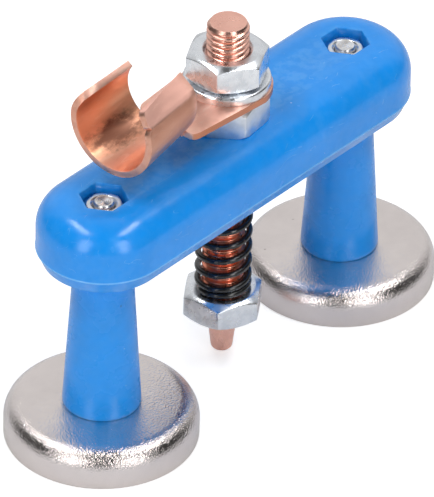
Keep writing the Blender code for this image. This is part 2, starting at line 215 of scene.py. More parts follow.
def mark_edges(piece: bpy.types.Object, full_angle: float = 24.0) -> None:
    """Write how much the surface turns at each point to the attribute "edge".

    The value is the widest angle between the two faces of any edge at the point, divided
    by full_angle and held to 1, so that rounded edges come out as 1 and flat faces as 0.

    Args:
        piece: the object to mark.
        full_angle: angle that counts as a full edge, in degrees.
    """
    shape = bmesh.new()
    shape.from_mesh(piece.data)
    turns = np.array([edge.calc_face_angle(0.0) for edge in shape.edges])
    shape.free()
    ends = np.zeros(len(piece.data.edges) * 2, np.int32)
    piece.data.edges.foreach_get("vertices", ends)
    worth = np.zeros(len(piece.data.vertices))
    np.maximum.at(worth, ends, np.repeat(turns, 2))
    attribute = piece.data.attributes.new("edge", "FLOAT", "POINT")
    attribute.data.foreach_set("value", np.clip(worth / math.radians(full_angle), 0, 1))


def smooth(piece: bpy.types.Object, angle: float = SHARP_ANGLE) -> None:
    """Shade a piece smooth, apart from edges sharper than an angle in radians."""
    piece.data.shade_smooth()
    piece.data.set_sharp_from_angle(angle=angle)


def fillets(corners: np.ndarray, closed: bool, steps: int = 6) -> np.ndarray:
    """Round the corners of a line in a plane.

    At a corner whose sides meet at an angle a, an arc of radius r touches both sides at the
    distance r / tan(a / 2) from the corner. Its points are turned from the first touching
    point to the second about the arc's centre.

    Args:
        corners: rows of first coordinate, second coordinate and radius.
        closed: join the last corner to the first.
        steps: facets of each arc.

    Returns:
        Rows of two coordinates, steps + 1 for each corner.
    """
    point, radius = corners[:, :2], corners[:, 2:3]
    before, after = np.roll(point, 1, axis=0) - point, np.roll(point, -1, axis=0) - point
    if not closed:
        before[0], after[-1] = -after[0], -before[-1]
    before /= np.linalg.norm(before, axis=1, keepdims=True)
    after /= np.linalg.norm(after, axis=1, keepdims=True)
    meeting = np.arccos(np.clip((before * after).sum(1, keepdims=True), -1, 1))
    reach = radius / np.tan(np.maximum(meeting, 1e-6) / 2)
    middle = before + after
    length = np.linalg.norm(middle, axis=1, keepdims=True)
    straight = length < 1e-6
    middle = np.where(straight, 0, middle / np.where(straight, 1, length))
    centre = point + middle * radius / np.maximum(np.sin(meeting / 2), 1e-6)
    start, end = point + before * reach - centre, point + after * reach - centre
    span = math.pi - meeting[:, None, :]
    share = np.linspace(0, 1, steps + 1)[None, :, None]
    sine = np.maximum(np.sin(span), 1e-9)
    arc = (start[:, None] * np.sin((1 - share) * span) + end[:, None] * np.sin(share * span)) / sine
    curve = centre[:, None] + arc
    plain = (radius[:, None] < 1e-9) | straight[:, None]
    curve = np.where(plain, point[:, None], curve)
    return curve.reshape(-1, 2)


def turned(name: str, profile: np.ndarray, x: float = 0.0, closed: bool = False,
           count: int = ROUND) -> bpy.types.Object:
    """Turn a profile about a vertical axis.

    The point for row i and angle t is (x + r cos t, r sin t, z), with r and z from the
    profile's row i.

    Args:
        name: the object's name.
        profile: rows of radius and height.
        x: place of the axis along the bridge.
        closed: join the profile's end to its start, which makes a ring.
        count: facets round the axis.

    Returns:
        The turned object.
    """
    angle = np.arange(count) * math.tau / count
    radius, height = profile[:, :1], profile[:, 1:2]
    points = np.stack([x + radius * np.cos(angle), radius * np.sin(angle),
                       height + 0 * angle], axis=-1)
    return mesh_object(name, points, quads(len(profile), count, closed, True).tolist())


def tube(name: str, path: np.ndarray, radius: np.ndarray, count: int = 14) -> bpy.types.Object:
    """Carry a circle along a path.

    At each point of the path the circle lies in the plane of two directions: the radial one,
    away from the vertical axis, and that one crossed with the path's own direction.

    Args:
        name: the object's name.
        path: rows of x, y and z.
        radius: the circle's radius at each point, 0 at the two ends to close them.
        count: facets round the circle.

    Returns:
        The tube.
    """
    along = np.gradient(path, axis=0)
    along /= np.linalg.norm(along, axis=1, keepdims=True)
    out = path * (1, 1, 0)
    out -= (out * along).sum(1, keepdims=True) * along
    out /= np.linalg.norm(out, axis=1, keepdims=True)
    side = np.cross(along, out)
    angle = np.arange(count) * math.tau / count
    ring = (out[:, None] * np.cos(angle)[None, :, None] + side[:, None] * np.sin(angle)[None, :, None])
    points = path[:, None] + ring * radius[:, None, None]
    return mesh_object(name, points, quads(len(path), count, False, True).tolist())


def blend_in(share: np.ndarray) -> np.ndarray:
    """Smooth step from 0 to 1: 3 s squared less 2 s cubed, with s held between 0 and 1."""
    held = np.clip(share, 0, 1)
    return held * held * (3 - 2 * held)


def finish_piece(piece: bpy.types.Object, finish: "Finish", body: Body,
                 nodes: list[str]) -> bpy.types.Object:
    """Dress a piece and tie it to the frame.

    Args:
        piece: the finished object.
        finish: its surface finish.
        body: the body it rides on.
        nodes: the frame's nodes that it stands for.

    Returns:
        The same object.
    """
    piece.data.materials.clear()
    piece.data.materials.append(finish.material())
    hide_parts(*nodes)
    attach(piece, body.value)
    LOG.info("%s: %d faces, rides on %s", piece.name, len(piece.data.polygons), body.value)
    return piece


# Materials


class Weaver:
    """Adds nodes to a node tree, with short calls for the ones that the finishes use."""

    def __init__(self, tree: bpy.types.NodeTree) -> None:
        """Keep the tree that nodes are added to."""
        self.tree = tree

    def add(self, kind: str, inputs: dict | None = None, **settings) -> bpy.types.Node:
        """Add a node.

        Args:
            kind: the node's type name, without the word ShaderNode.
            inputs: values or sockets for its inputs, by name or number.
            settings: the node's own settings.

        Returns:
            The new node.
        """
        node = self.tree.nodes.new("ShaderNode" + kind)
        for name, value in settings.items():
            setattr(node, name, value)
        for name, value in (inputs or {}).items():
            socket = node.inputs[name]
            if isinstance(value, bpy.types.NodeSocket):
                self.tree.links.new(value, socket)
            else:
                socket.default_value = value
        return node

    def add_io(self, side: str) -> bpy.types.Node:
        """Add a node group's Input or Output node."""
        return self.tree.nodes.new("NodeGroup" + side)

    def place(self, scale: tuple = (1, 1, 1), move: tuple = (0, 0, 0)) -> bpy.types.NodeSocket:
        """Object coordinates, stretched and then moved.

        Args:
            scale: stretch along each axis.
            move: shift along each axis, after the stretch.

        Returns:
            The coordinates.
        """
        source = self.add("TexCoord").outputs["Object"]
        inputs = {"Vector": source, "Scale": scale, "Location": move}
        return self.add("Mapping", inputs).outputs["Vector"]

    def attribute(self, name: str) -> bpy.types.NodeSocket:
        """A number from a mesh attribute."""
        return self.add("Attribute", attribute_name=name).outputs["Fac"]

    def noise(self, vector, scale: float, detail: float = 2.0, rough: float = 0.5,
              warp: float = 0.0) -> bpy.types.NodeSocket:
        """Value noise, about 0.5 on average.

        Args:
            vector: the coordinates.
            scale: how fine it is.
            detail: number of finer layers.
            rough: strength of the finer layers.
            warp: distortion.

        Returns:
            The noise.
        """
        inputs = {"Vector": vector, "Scale": scale, "Detail": detail, "Roughness": rough,
                  "Distortion": warp}
        return self.add("TexNoise", inputs).outputs["Fac"]

    def span(self, value, low: float, high: float, start: float = 0.0,
             end: float = 1.0) -> bpy.types.NodeSocket:
        """Map a value from low..high to start..end, held at both ends."""
        inputs = {"Value": value, "From Min": low, "From Max": high, "To Min": start, "To Max": end}
        return self.add("MapRange", inputs, interpolation_type="SMOOTHSTEP").outputs["Result"]

    def sum(self, operation: str, first, second=0.0) -> bpy.types.NodeSocket:
        """Arithmetic on one or two values."""
        return self.add("Math", {0: first, 1: second}, operation=operation).outputs[0]

    def mix(self, share, first, second, mode: str = "MIX") -> bpy.types.NodeSocket:
        """Mix two colours.

        Args:
            share: how much of the second colour, as a number or a socket.
            first: a colour or a socket.
            second: a colour or a socket.
            mode: the way of mixing.

        Returns:
            The mixed colour.
        """
        node = self.add("Mix", data_type="RGBA", blend_type=mode)
        for index, value in ((0, share), (6, first), (7, second)):
            if isinstance(value, bpy.types.NodeSocket):
                self.tree.links.new(value, node.inputs[index])
            elif index:
                node.inputs[index].default_value = (*value[:3], 1.0)
            else:
                node.inputs[index].default_value = value
        return node.outputs[2]

    def relief(self, height, depth: float, strength: float = 1.0,
               normal=None) -> bpy.types.NodeSocket:
        """Bump from a height between 0 and 1.

        Args:
            height: the height's socket.
            depth: how deep a height of 1 is, in metres.
            strength: how much of the bump is shown.
            normal: an earlier bump that this one lies on.

        Returns:
            The bumped normal.
        """
        inputs = {"Height": height, "Distance": depth, "Strength": strength}
        if normal is not None:
            inputs["Normal"] = normal
        return self.add("Bump", inputs).outputs["Normal"]


def new_group(name: str, numbers: dict[str, float], outputs: list[str]) -> bpy.types.NodeTree:
    """Start a shader node group with number inputs and outputs.

    Args:
        name: the group's name.
        numbers: the inputs' names and default values.
        outputs: the outputs' names.

    Returns:
        The empty group.
    """
    group = bpy.data.node_groups.new(name, "ShaderNodeTree")
    vector = group.interface.new_socket("Vector", in_out="INPUT", socket_type="NodeSocketVector")
    vector.hide_value = True
    for label, value in numbers.items():
        socket = group.interface.new_socket(label, in_out="INPUT", socket_type="NodeSocketFloat")
        socket.default_value = value
    for label in outputs:
        group.interface.new_socket(label, in_out="OUTPUT", socket_type="NodeSocketFloat")
    return group


class Effect(Enum):
    """The shared surface effects."""

    SPECKS = "specks"
    SCRATCHES = "scratches"
    MOTTLE = "mottle"
    WEAR = "edge_wear"


class Effects:
    """Builds each shared effect's node group once and places it in materials."""

    def __init__(self) -> None:
        """Start with no groups built."""
        self.made: dict[Effect, bpy.types.NodeTree] = {}

    def group(self, effect: Effect) -> bpy.types.NodeTree:
        """Find an effect's group, building it the first time.

        Args:
            effect: which effect.

        Returns:
            Its node group.
        """
        if effect not in self.made:
            self.made[effect] = getattr(self, "build_" + effect.value)()
        return self.made[effect]

    def use(self, weaver: Weaver, effect: Effect, vector, **values) -> bpy.types.NodeSocket:
        """Place an effect in a material.

        Args:
            weaver: the material's nodes.
            effect: which effect.
            vector: the coordinates it is drawn on.
            values: its number inputs, by name.

        Returns:
            The effect's mask.
        """
        node = weaver.add("Group", node_tree=self.group(effect))
        weaver.tree.links.new(vector, node.inputs["Vector"])
        for name, value in values.items():
            if isinstance(value, bpy.types.NodeSocket):
                weaver.tree.links.new(value, node.inputs[name])
            else:
                node.inputs[name].default_value = value
        return node.outputs[0]

    def build_specks(self) -> bpy.types.NodeTree:
        """Small scattered dots: 1 inside a dot of the given size, 0 outside.

        Returns:
            The effect's node group.
        """
        group = new_group("specks", {"Scale": 400.0, "Size": 0.12, "Share": 0.3}, ["Mask"])
        weaver = Weaver(group)
        source = weaver.add_io("Input")
        scaled = weaver.add("VectorMath", {0: source.outputs["Vector"]}, operation="SCALE")
        group.links.new(source.outputs["Scale"], scaled.inputs["Scale"])
        points = weaver.add("TexVoronoi", {"Vector": scaled.outputs[0], "Scale": 1.0})
        near = weaver.sum("LESS_THAN", points.outputs["Distance"], source.outputs["Size"])
        parts = weaver.add("SeparateColor", {"Color": points.outputs["Color"]})
        chosen = weaver.sum("LESS_THAN", parts.outputs[0], source.outputs["Share"])
        mask = weaver.sum("MULTIPLY", near, chosen)
        group.links.new(mask, weaver.add_io("Output").inputs["Mask"])
        return group

    def build_scratches(self) -> bpy.types.NodeTree:
        """Fine lines: 1 where strongly stretched noise crosses its middle value.

        Returns:
            The effect's node group.
        """
        group = new_group("scratches", {"Scale": 60.0, "Width": 0.012, "Share": 0.5}, ["Mask"])
        weaver = Weaver(group)
        source = weaver.add_io("Input")
        lines = weaver.add("TexNoise", {"Vector": source.outputs["Vector"], "Detail": 1.0,
                                        "Scale": source.outputs["Scale"], "Distortion": 0.4})
        away = weaver.sum("ABSOLUTE", weaver.sum("SUBTRACT", lines.outputs["Fac"], 0.5))
        line = weaver.sum("LESS_THAN", away, source.outputs["Width"])
        patches = weaver.add("TexNoise", {"Vector": source.outputs["Vector"], "Detail": 2.0,
                                          "Scale": weaver.sum("MULTIPLY", source.outputs["Scale"], 1.7)})
        chosen = weaver.sum("LESS_THAN", patches.outputs["Fac"], source.outputs["Share"])
        mask = weaver.sum("MULTIPLY", line, chosen)
        group.links.new(mask, weaver.add_io("Output").inputs["Mask"])
        return group

    def build_mottle(self) -> bpy.types.NodeTree:
        """Cloudy variation from coarse and fine noise, between 0 and 1.

        Returns:
            The effect's node group.
        """
        group = new_group("mottle", {"Scale": 120.0, "Contrast": 1.0}, ["Value"])
        weaver = Weaver(group)
        source = weaver.add_io("Input")
        coarse = weaver.add("TexNoise", {"Vector": source.outputs["Vector"], "Detail": 3.0,
                                         "Scale": source.outputs["Scale"]})
        fine = weaver.add("TexNoise", {"Vector": source.outputs["Vector"], "Detail": 4.0,
                                       "Scale": weaver.sum("MULTIPLY", source.outputs["Scale"], 5.3)})
        both = weaver.sum("ADD", weaver.sum("MULTIPLY", coarse.outputs["Fac"], 0.7),
                          weaver.sum("MULTIPLY", fine.outputs["Fac"], 0.3))
        spread = weaver.sum("MULTIPLY", weaver.sum("SUBTRACT", both, 0.5), source.outputs["Contrast"])
        held = weaver.add("Clamp", {"Value": weaver.sum("ADD", spread, 0.5)})
        group.links.new(held.outputs[0], weaver.add_io("Output").inputs["Value"])
        return group

    def build_edge_wear(self) -> bpy.types.NodeTree:
        """Edges broken up by noise: the edge value, cut where noise is low.

        Returns:
            The effect's node group.
        """
        group = new_group("edge_wear", {"Edge": 0.0, "Scale": 500.0, "Amount": 0.6}, ["Mask"])
        weaver = Weaver(group)
        source = weaver.add_io("Input")
        rough = weaver.add("TexNoise", {"Vector": source.outputs["Vector"], "Detail": 3.0,
                                        "Scale": source.outputs["Scale"]})
        broken = weaver.span(rough.outputs["Fac"], 0.38, 0.62)
        worn = weaver.sum("MULTIPLY", source.outputs["Edge"], broken)
        mask = weaver.sum("MULTIPLY", worn, source.outputs["Amount"])
        group.links.new(mask, weaver.add_io("Output").inputs["Mask"])
        return group


EFFECTS = Effects()


@dataclass(frozen=True)
class Finish:
    """A surface finish. Each kind adds its own nodes round one Principled BSDF."""

    name: str
    colour: tuple[float, float, float]
    roughness: float
    metallic: float = 0.0
    coat: float = 0.0

    def material(self) -> bpy.types.Material:
        """Find the finish's material, building it the first time.

        Returns:
            The material.
        """
        found = bpy.data.materials.get("finish_" + self.name)
        if found:
            return found
        made = bpy.data.materials.new("finish_" + self.name)
        made.use_nodes = True
        shader = made.node_tree.nodes["Principled BSDF"]
        shader.inputs["Base Color"].default_value = (*self.colour, 1.0)
        shader.inputs["Roughness"].default_value = self.roughness
        shader.inputs["Metallic"].default_value = self.metallic
        shader.inputs["Coat Weight"].default_value = self.coat
        shader.inputs["Coat Roughness"].default_value = 0.12
        self.detail(Weaver(made.node_tree), shader)
        return made

    def detail(self, weaver: Weaver, shader: bpy.types.Node) -> None:
        """Add the finish's own nodes. A plain finish has faint mottling only."""
        self.connect(weaver, shader, {"Base Color": self.shade(weaver, 90.0, 0.9, 1.08)})

    def connect(self, weaver: Weaver, shader: bpy.types.Node, sockets: dict) -> None:
        """Join sockets to the shader's inputs by name."""
        for name, socket in sockets.items():
            weaver.tree.links.new(socket, shader.inputs[name])

    def shade(self, weaver: Weaver, scale: float, low: float, high: float) -> bpy.types.NodeSocket:
        """Mottle the finish's colour between two brightnesses.

        Args:
            weaver: the material's nodes.
            scale: how fine the mottling is.
            low: the darker brightness, as a share of the colour.
            high: the lighter brightness.

        Returns:
            The colour.
        """
        mottle = EFFECTS.use(weaver, Effect.MOTTLE, weaver.place(), Scale=scale, Contrast=2.2)
        dark = tuple(part * low for part in self.colour)
        light = tuple(min(part * high, 1.0) for part in self.colour)
        return weaver.mix(mottle, dark, light)


@dataclass(frozen=True)
class BluePlastic(Finish):
    """Moulded polyamide: faint flow clouds, pale scuffs, specks, and a painted highlight on the parting
    line.
    """

    scuff: tuple[float, float, float] = (0.16, 0.50, 0.95)
    rub: float = 1.0
    seam_highlight_z: float = 0.0
    seam_highlight_half: float = 0.00016

    def detail(self, weaver: Weaver, shader: bpy.types.Node) -> None:
        """Add clouds, scuffs, specks and a very slight orange peel.

        Args:
            weaver: the material's nodes.
            shader: its Principled BSDF.
        """
        place = weaver.place()
        colour = self.shade(weaver, 55.0, 0.90, 1.10)
        long_marks = weaver.place((0.35, 1.0, 1.0))
        scratches = EFFECTS.use(weaver, Effect.SCRATCHES, long_marks, Scale=260.0,
                                Width=0.005 * self.rub, Share=0.40)
        patches = weaver.span(weaver.noise(place, 140.0, 3.0), 0.58, 0.74, 0.0, 0.22 * self.rub)
        colour = weaver.mix(weaver.sum("MULTIPLY", patches, weaver.noise(place, 900.0, 3.0)),
                            colour, self.scuff)
        colour = weaver.mix(weaver.sum("MULTIPLY", scratches, 0.45), colour, self.scuff)
        pale = EFFECTS.use(weaver, Effect.SPECKS, place, Scale=420.0, Size=0.10, Share=0.035)
        colour = weaver.mix(weaver.sum("MULTIPLY", pale, 0.40), colour, (0.55, 0.75, 0.98))
        dark = EFFECTS.use(weaver, Effect.SPECKS, weaver.place(move=(0.31, 0.17, 0.05)),
                           Scale=300.0, Size=0.09, Share=0.03)
        colour = weaver.mix(weaver.sum("MULTIPLY", dark, 0.7), colour, (0.005, 0.05, 0.25))
        edge = EFFECTS.use(weaver, Effect.WEAR, place, Edge=weaver.attribute("edge"), Amount=0.35)
        colour = weaver.mix(edge, colour, self.scuff)
        # Painted highlight: a pale line along the parting bead, a band in height.
        if self.seam_highlight_z:
            level = weaver.add("SeparateXYZ", {0: place}).outputs["Z"]
            away = weaver.sum("ABSOLUTE", weaver.sum("SUBTRACT", level, self.seam_highlight_z))
            line = weaver.span(away, self.seam_highlight_half, 2 * self.seam_highlight_half, 0.60, 0.0)
            colour = weaver.mix(line, colour, (0.25, 0.60, 0.98))
        rough = weaver.span(weaver.noise(place, 180.0, 4.0), 0.3, 0.7,
                            self.roughness - 0.04, self.roughness + 0.07)
        rough = weaver.sum("ADD", rough, weaver.sum("MULTIPLY", patches, 0.35))
        peel = weaver.relief(weaver.noise(place, 700.0, 2.0), 0.00002)
        marks = weaver.relief(scratches, 0.00003, 0.5, peel)
        self.connect(weaver, shader, {"Base Color": colour, "Roughness": rough, "Normal": marks})


@dataclass(frozen=True)
class SatinNickel(Finish):
    """Barrel-plated nickel on drawn steel: fine pebbled grain, faint stains and nicks."""

    grain: float = 0.00014

    def detail(self, weaver: Weaver, shader: bpy.types.Node) -> None:
        """Add the grain, stains and a few dark nicks.

        Args:
            weaver: the material's nodes.
            shader: its Principled BSDF.
        """
        place = weaver.place()
        colour = self.shade(weaver, 70.0, 0.93, 1.05)
        nicks = EFFECTS.use(weaver, Effect.SPECKS, place, Scale=520.0, Size=0.10, Share=0.05)
        colour = weaver.mix(weaver.sum("MULTIPLY", nicks, 0.6), colour, (0.12, 0.10, 0.09))
        rough = weaver.span(weaver.noise(place, 260.0, 3.0), 0.3, 0.7,
                            self.roughness - 0.05, self.roughness + 0.07)
        pebbles = weaver.noise(place, 2300.0, 2.0, 0.6)
        grain = weaver.relief(pebbles, self.grain)
        waves = weaver.relief(weaver.noise(place, 150.0, 2.0), 0.00006, 0.6, grain)
        self.connect(weaver, shader, {"Base Color": colour, "Roughness": rough, "Normal": waves})


@dataclass(frozen=True)
class BrightZinc(Finish):
    """Blue-passivated zinc on pressed steel: clear gloss, soft clouds, worn bright edges."""

    def detail(self, weaver: Weaver, shader: bpy.types.Node) -> None:
        """Add clouds of tone and gloss, small pits and bright edges.

        Args:
            weaver: the material's nodes.
            shader: its Principled BSDF.
        """
        place = weaver.place()
        colour = self.shade(weaver, 160.0, 0.86, 1.06)
        pits = EFFECTS.use(weaver, Effect.SPECKS, place, Scale=700.0, Size=0.12, Share=0.05)
        colour = weaver.mix(weaver.sum("MULTIPLY", pits, 0.5), colour, (0.18, 0.17, 0.18))
        edge = EFFECTS.use(weaver, Effect.WEAR, place, Edge=weaver.attribute("edge"), Amount=0.8)
        colour = weaver.mix(edge, colour, (0.95, 0.96, 0.98))
        rough = weaver.span(weaver.noise(place, 420.0, 4.0), 0.3, 0.7,
                            self.roughness - 0.07, self.roughness + 0.10)
        waves = weaver.relief(weaver.noise(place, 300.0, 2.0), 0.00001, 0.7)
        self.connect(weaver, shader, {"Base Color": colour, "Roughness": rough, "Normal": waves})


@dataclass(frozen=True)
class RolledCopper(Finish):
    """Soft copper sheet or bar: scuffs along the work, tarnished patches, bright edges."""

    tarnish: tuple[float, float, float] = (0.26, 0.10, 0.06)
    streaks: tuple[float, float, float] = (0.25, 1.0, 1.0)
    stain: float = 0.35
    scuffing: float = 1.0

    def detail(self, weaver: Weaver, shader: bpy.types.Node) -> None:
        """Add tarnish, streaks along the work, dents and bright worn edges.

        Args:
            weaver: the material's nodes.
            shader: its Principled BSDF.
        """
        place = weaver.place()
        stretched = weaver.place(self.streaks)
        colour = self.shade(weaver, 130.0, 0.86, 1.10)
        cloud = weaver.span(weaver.noise(stretched, 170.0, 4.0, 0.6), 0.48, 0.75, 0.0, self.stain)
        colour = weaver.mix(cloud, colour, self.tarnish)
        lines = EFFECTS.use(weaver, Effect.SCRATCHES, stretched, Scale=420.0, Width=0.020, Share=0.5)
        colour = weaver.mix(weaver.sum("MULTIPLY", lines, 0.30 * self.scuffing), colour,
                            (0.98, 0.72, 0.62))
        edge = EFFECTS.use(weaver, Effect.WEAR, place, Edge=weaver.attribute("edge"), Amount=0.7)
        colour = weaver.mix(edge, colour, (1.0, 0.72, 0.58))
        rough = weaver.span(weaver.noise(stretched, 330.0, 4.0), 0.3, 0.7,
                            self.roughness - 0.06, self.roughness + 0.14)
        rough = weaver.sum("ADD", rough, weaver.sum("MULTIPLY", cloud, 0.25))
        dents = weaver.relief(weaver.noise(stretched, 300.0, 4.0, 0.6), 0.00010 * self.scuffing)
        marks = weaver.relief(lines, 0.00002, 0.7, dents)
        self.connect(weaver, shader, {"Base Color": colour, "Roughness": rough, "Normal": marks})


@dataclass(frozen=True)
class RodCopper(RolledCopper):
    """The rod's copper, with painted shade and bounce light: redder over the length that the spring
    covers.
    """

    covered: tuple[float, float] = (0.0160, 0.0500)
    painted_shade_red: tuple[float, float, float] = (0.72, 0.19, 0.10)
    blend: float = 0.0015

    def detail(self, weaver: Weaver, shader: bpy.types.Node) -> None:
        """Add the painted shade and bounce light over the rest: a red band between two heights.

        Args:
            weaver: the material's nodes.
            shader: its Principled BSDF.
        """
        super().detail(weaver, shader)
        under = shader.inputs["Base Color"].links[0].from_socket
        level = weaver.add("SeparateXYZ", {0: weaver.place()}).outputs["Z"]
        low, high = self.covered
        rise = weaver.span(level, low - self.blend, low)
        fall = weaver.span(level, high, high + self.blend, 0.75, 0.0)
        # Painted shade and bounce light: red copper over the length under the bridge, inside the spring.
        colour = weaver.mix(weaver.sum("MULTIPLY", rise, fall), under, self.painted_shade_red)
        self.connect(weaver, shader, {"Base Color": colour})


@dataclass(frozen=True)
class LugCopper(RolledCopper):
    """The lug's copper: painted brown shade outside and on cut edges, painted pale flap, dark patch
    inside.
    """

    patch_centre: tuple[float, float, float] = (-0.031, 0.0052, 0.0752)
    patch_size: tuple[float, float, float] = (0.0100, 0.0036, 0.0030)
    # Colours of painted light: shade outside and on the cut edges, a highlight on the flap.
    painted_outer_shade: tuple[float, float, float] = (0.52, 0.23, 0.14)
    rim: tuple[float, float, float] = (0.56, 0.22, 0.12)
    flap_highlight: tuple[float, float, float] = (0.96, 0.53, 0.43)

    def detail(self, weaver: Weaver, shader: bpy.types.Node) -> None:
        """Add the painted shade, highlight and bounce tint, and the dark patch, a soft ellipsoid broken up
        by noise.

        Args:
            weaver: the material's nodes.
            shader: its Principled BSDF.
        """
        super().detail(weaver, shader)
        under = shader.inputs["Base Color"].links[0].from_socket
        scale = tuple(1 / size for size in self.patch_size)
        move = tuple(-centre / size for centre, size in zip(self.patch_centre, self.patch_size))
        reach = weaver.add("VectorMath", {0: weaver.place(scale, move)}, operation="LENGTH")
        broken = weaver.noise(weaver.place((0.5, 1, 1)), 420.0, 5.0, 0.7)
        ragged = weaver.sum("ADD", reach.outputs["Value"],
                            weaver.sum("MULTIPLY", weaver.sum("SUBTRACT", broken, 0.5), 1.9))
        mask = weaver.span(ragged, 0.45, 1.30, 0.85, 0.0)
        inside = weaver.attribute("inside")
        # Painted shade: dark brown over the barrel's outside and underside.
        under = weaver.mix(weaver.sum("MULTIPLY", weaver.attribute("painted_outer_shade"), 0.70), under, self.painted_outer_shade)
        # Painted shade: darker orange-brown on the sheet's cut edges, where the rim mask is.
        under = weaver.mix(weaver.sum("MULTIPLY", weaver.attribute("rim"), 0.90), under, self.rim)
        # Painted highlight: pale pink on the flap.
        under = weaver.mix(weaver.attribute("flap"), under, self.flap_highlight)
        # Painted bounce light: an orange tint on the barrel's inner wall, stronger towards +y.
        across = weaver.add("SeparateXYZ", {0: weaver.place()}).outputs["Y"]
        painted_bounce = weaver.sum("MULTIPLY", inside, weaver.span(across, -0.004, 0.006, 0.0, 0.60))
        colour = weaver.mix(painted_bounce, under, (1.0, 0.46, 0.22))
        # A dark patch on the barrel's inner wall, a soft ellipsoid broken up by noise.
        colour = weaver.mix(weaver.sum("MULTIPLY", mask, inside), colour, (0.13, 0.055, 0.04))
        bare = weaver.span(weaver.attribute("flap"), 0.0, 1.0, 1.0, 0.45)
        self.connect(weaver, shader, {"Base Color": colour, "Metallic": bare})


@dataclass(frozen=True)
class BlackedSteel(Finish):
    """Black oxide spring wire with an oily gloss."""

    def detail(self, weaver: Weaver, shader: bpy.types.Node) -> None:
        """Add oil clouds and brown rubs.

        Args:
            weaver: the material's nodes.
            shader: its Principled BSDF.
        """
        place = weaver.place()
        colour = self.shade(weaver, 200.0, 0.7, 1.5)
        rubs = weaver.span(weaver.noise(place, 520.0, 3.0), 0.62, 0.75, 0.0, 0.5)
        colour = weaver.mix(rubs, colour, (0.16, 0.10, 0.08))
        rough = weaver.span(weaver.noise(place, 700.0, 3.0), 0.3, 0.7,
                            self.roughness - 0.05, self.roughness + 0.12)
        normal = weaver.relief(weaver.noise(place, 1500.0, 2.0), 0.00002)
        self.connect(weaver, shader, {"Base Color": colour, "Roughness": rough, "Normal": normal})


@dataclass(frozen=True)
class Ceramic(Finish):
    """Sintered ferrite or cast resin: matt, grainy, with pale chips."""

    def detail(self, weaver: Weaver, shader: bpy.types.Node) -> None:
        """Add grain and chips.

        Args:
            weaver: the material's nodes.
            shader: its Principled BSDF.
        """
        place = weaver.place()
        colour = self.shade(weaver, 220.0, 0.75, 1.3)
        chips = EFFECTS.use(weaver, Effect.SPECKS, place, Scale=600.0, Size=0.16, Share=0.12)
        colour = weaver.mix(weaver.sum("MULTIPLY", chips, 0.4), colour, (0.25, 0.25, 0.26))
        rough = weaver.span(weaver.noise(place, 900.0, 3.0), 0.3, 0.7,
                            self.roughness - 0.1, self.roughness + 0.1)
        normal = weaver.relief(weaver.noise(place, 1800.0, 4.0, 0.7), 0.00006)
        self.connect(weaver, shader, {"Base Color": colour, "Roughness": rough, "Normal": normal})


BRIDGE_BLUE = BluePlastic("bridge_blue", (0.007, 0.285, 0.86), 0.20, seam_highlight_z=0.0520)
LEG_BLUE = BluePlastic("leg_blue", (0.007, 0.285, 0.84), 0.24, rub=0.5)
CUP_NICKEL = SatinNickel("cup_nickel", (0.74, 0.68, 0.665), 0.11, metallic=1.0)
NUT_ZINC = BrightZinc("nut_zinc", (0.76, 0.79, 0.83), 0.26, metallic=1.0)
DULL_ZINC = BrightZinc("dull_zinc", (0.74, 0.77, 0.80), 0.42, metallic=1.0)
SCREW_ZINC = BrightZinc("screw_zinc", (0.72, 0.70, 0.68), 0.30, metallic=1.0)
LUG_COPPER = LugCopper("lug_copper", (0.93, 0.52, 0.41), 0.38, metallic=1.0)
THREAD_COPPER = RodCopper("thread_copper", (0.96, 0.53, 0.43), 0.25, metallic=1.0,
                          streaks=(1, 1, 0.5), stain=0.06, scuffing=0.08)
SPRING_BLACK = BlackedSteel("spring_black", (0.006, 0.006, 0.007), 0.20, metallic=0.0, coat=0.3)
FERRITE_GREY = Ceramic("ferrite_grey", (0.045, 0.045, 0.05), 0.60)
RESIN_BLACK = Ceramic("resin_black", (0.02, 0.02, 0.022), 0.42)


# Sub-assemblies


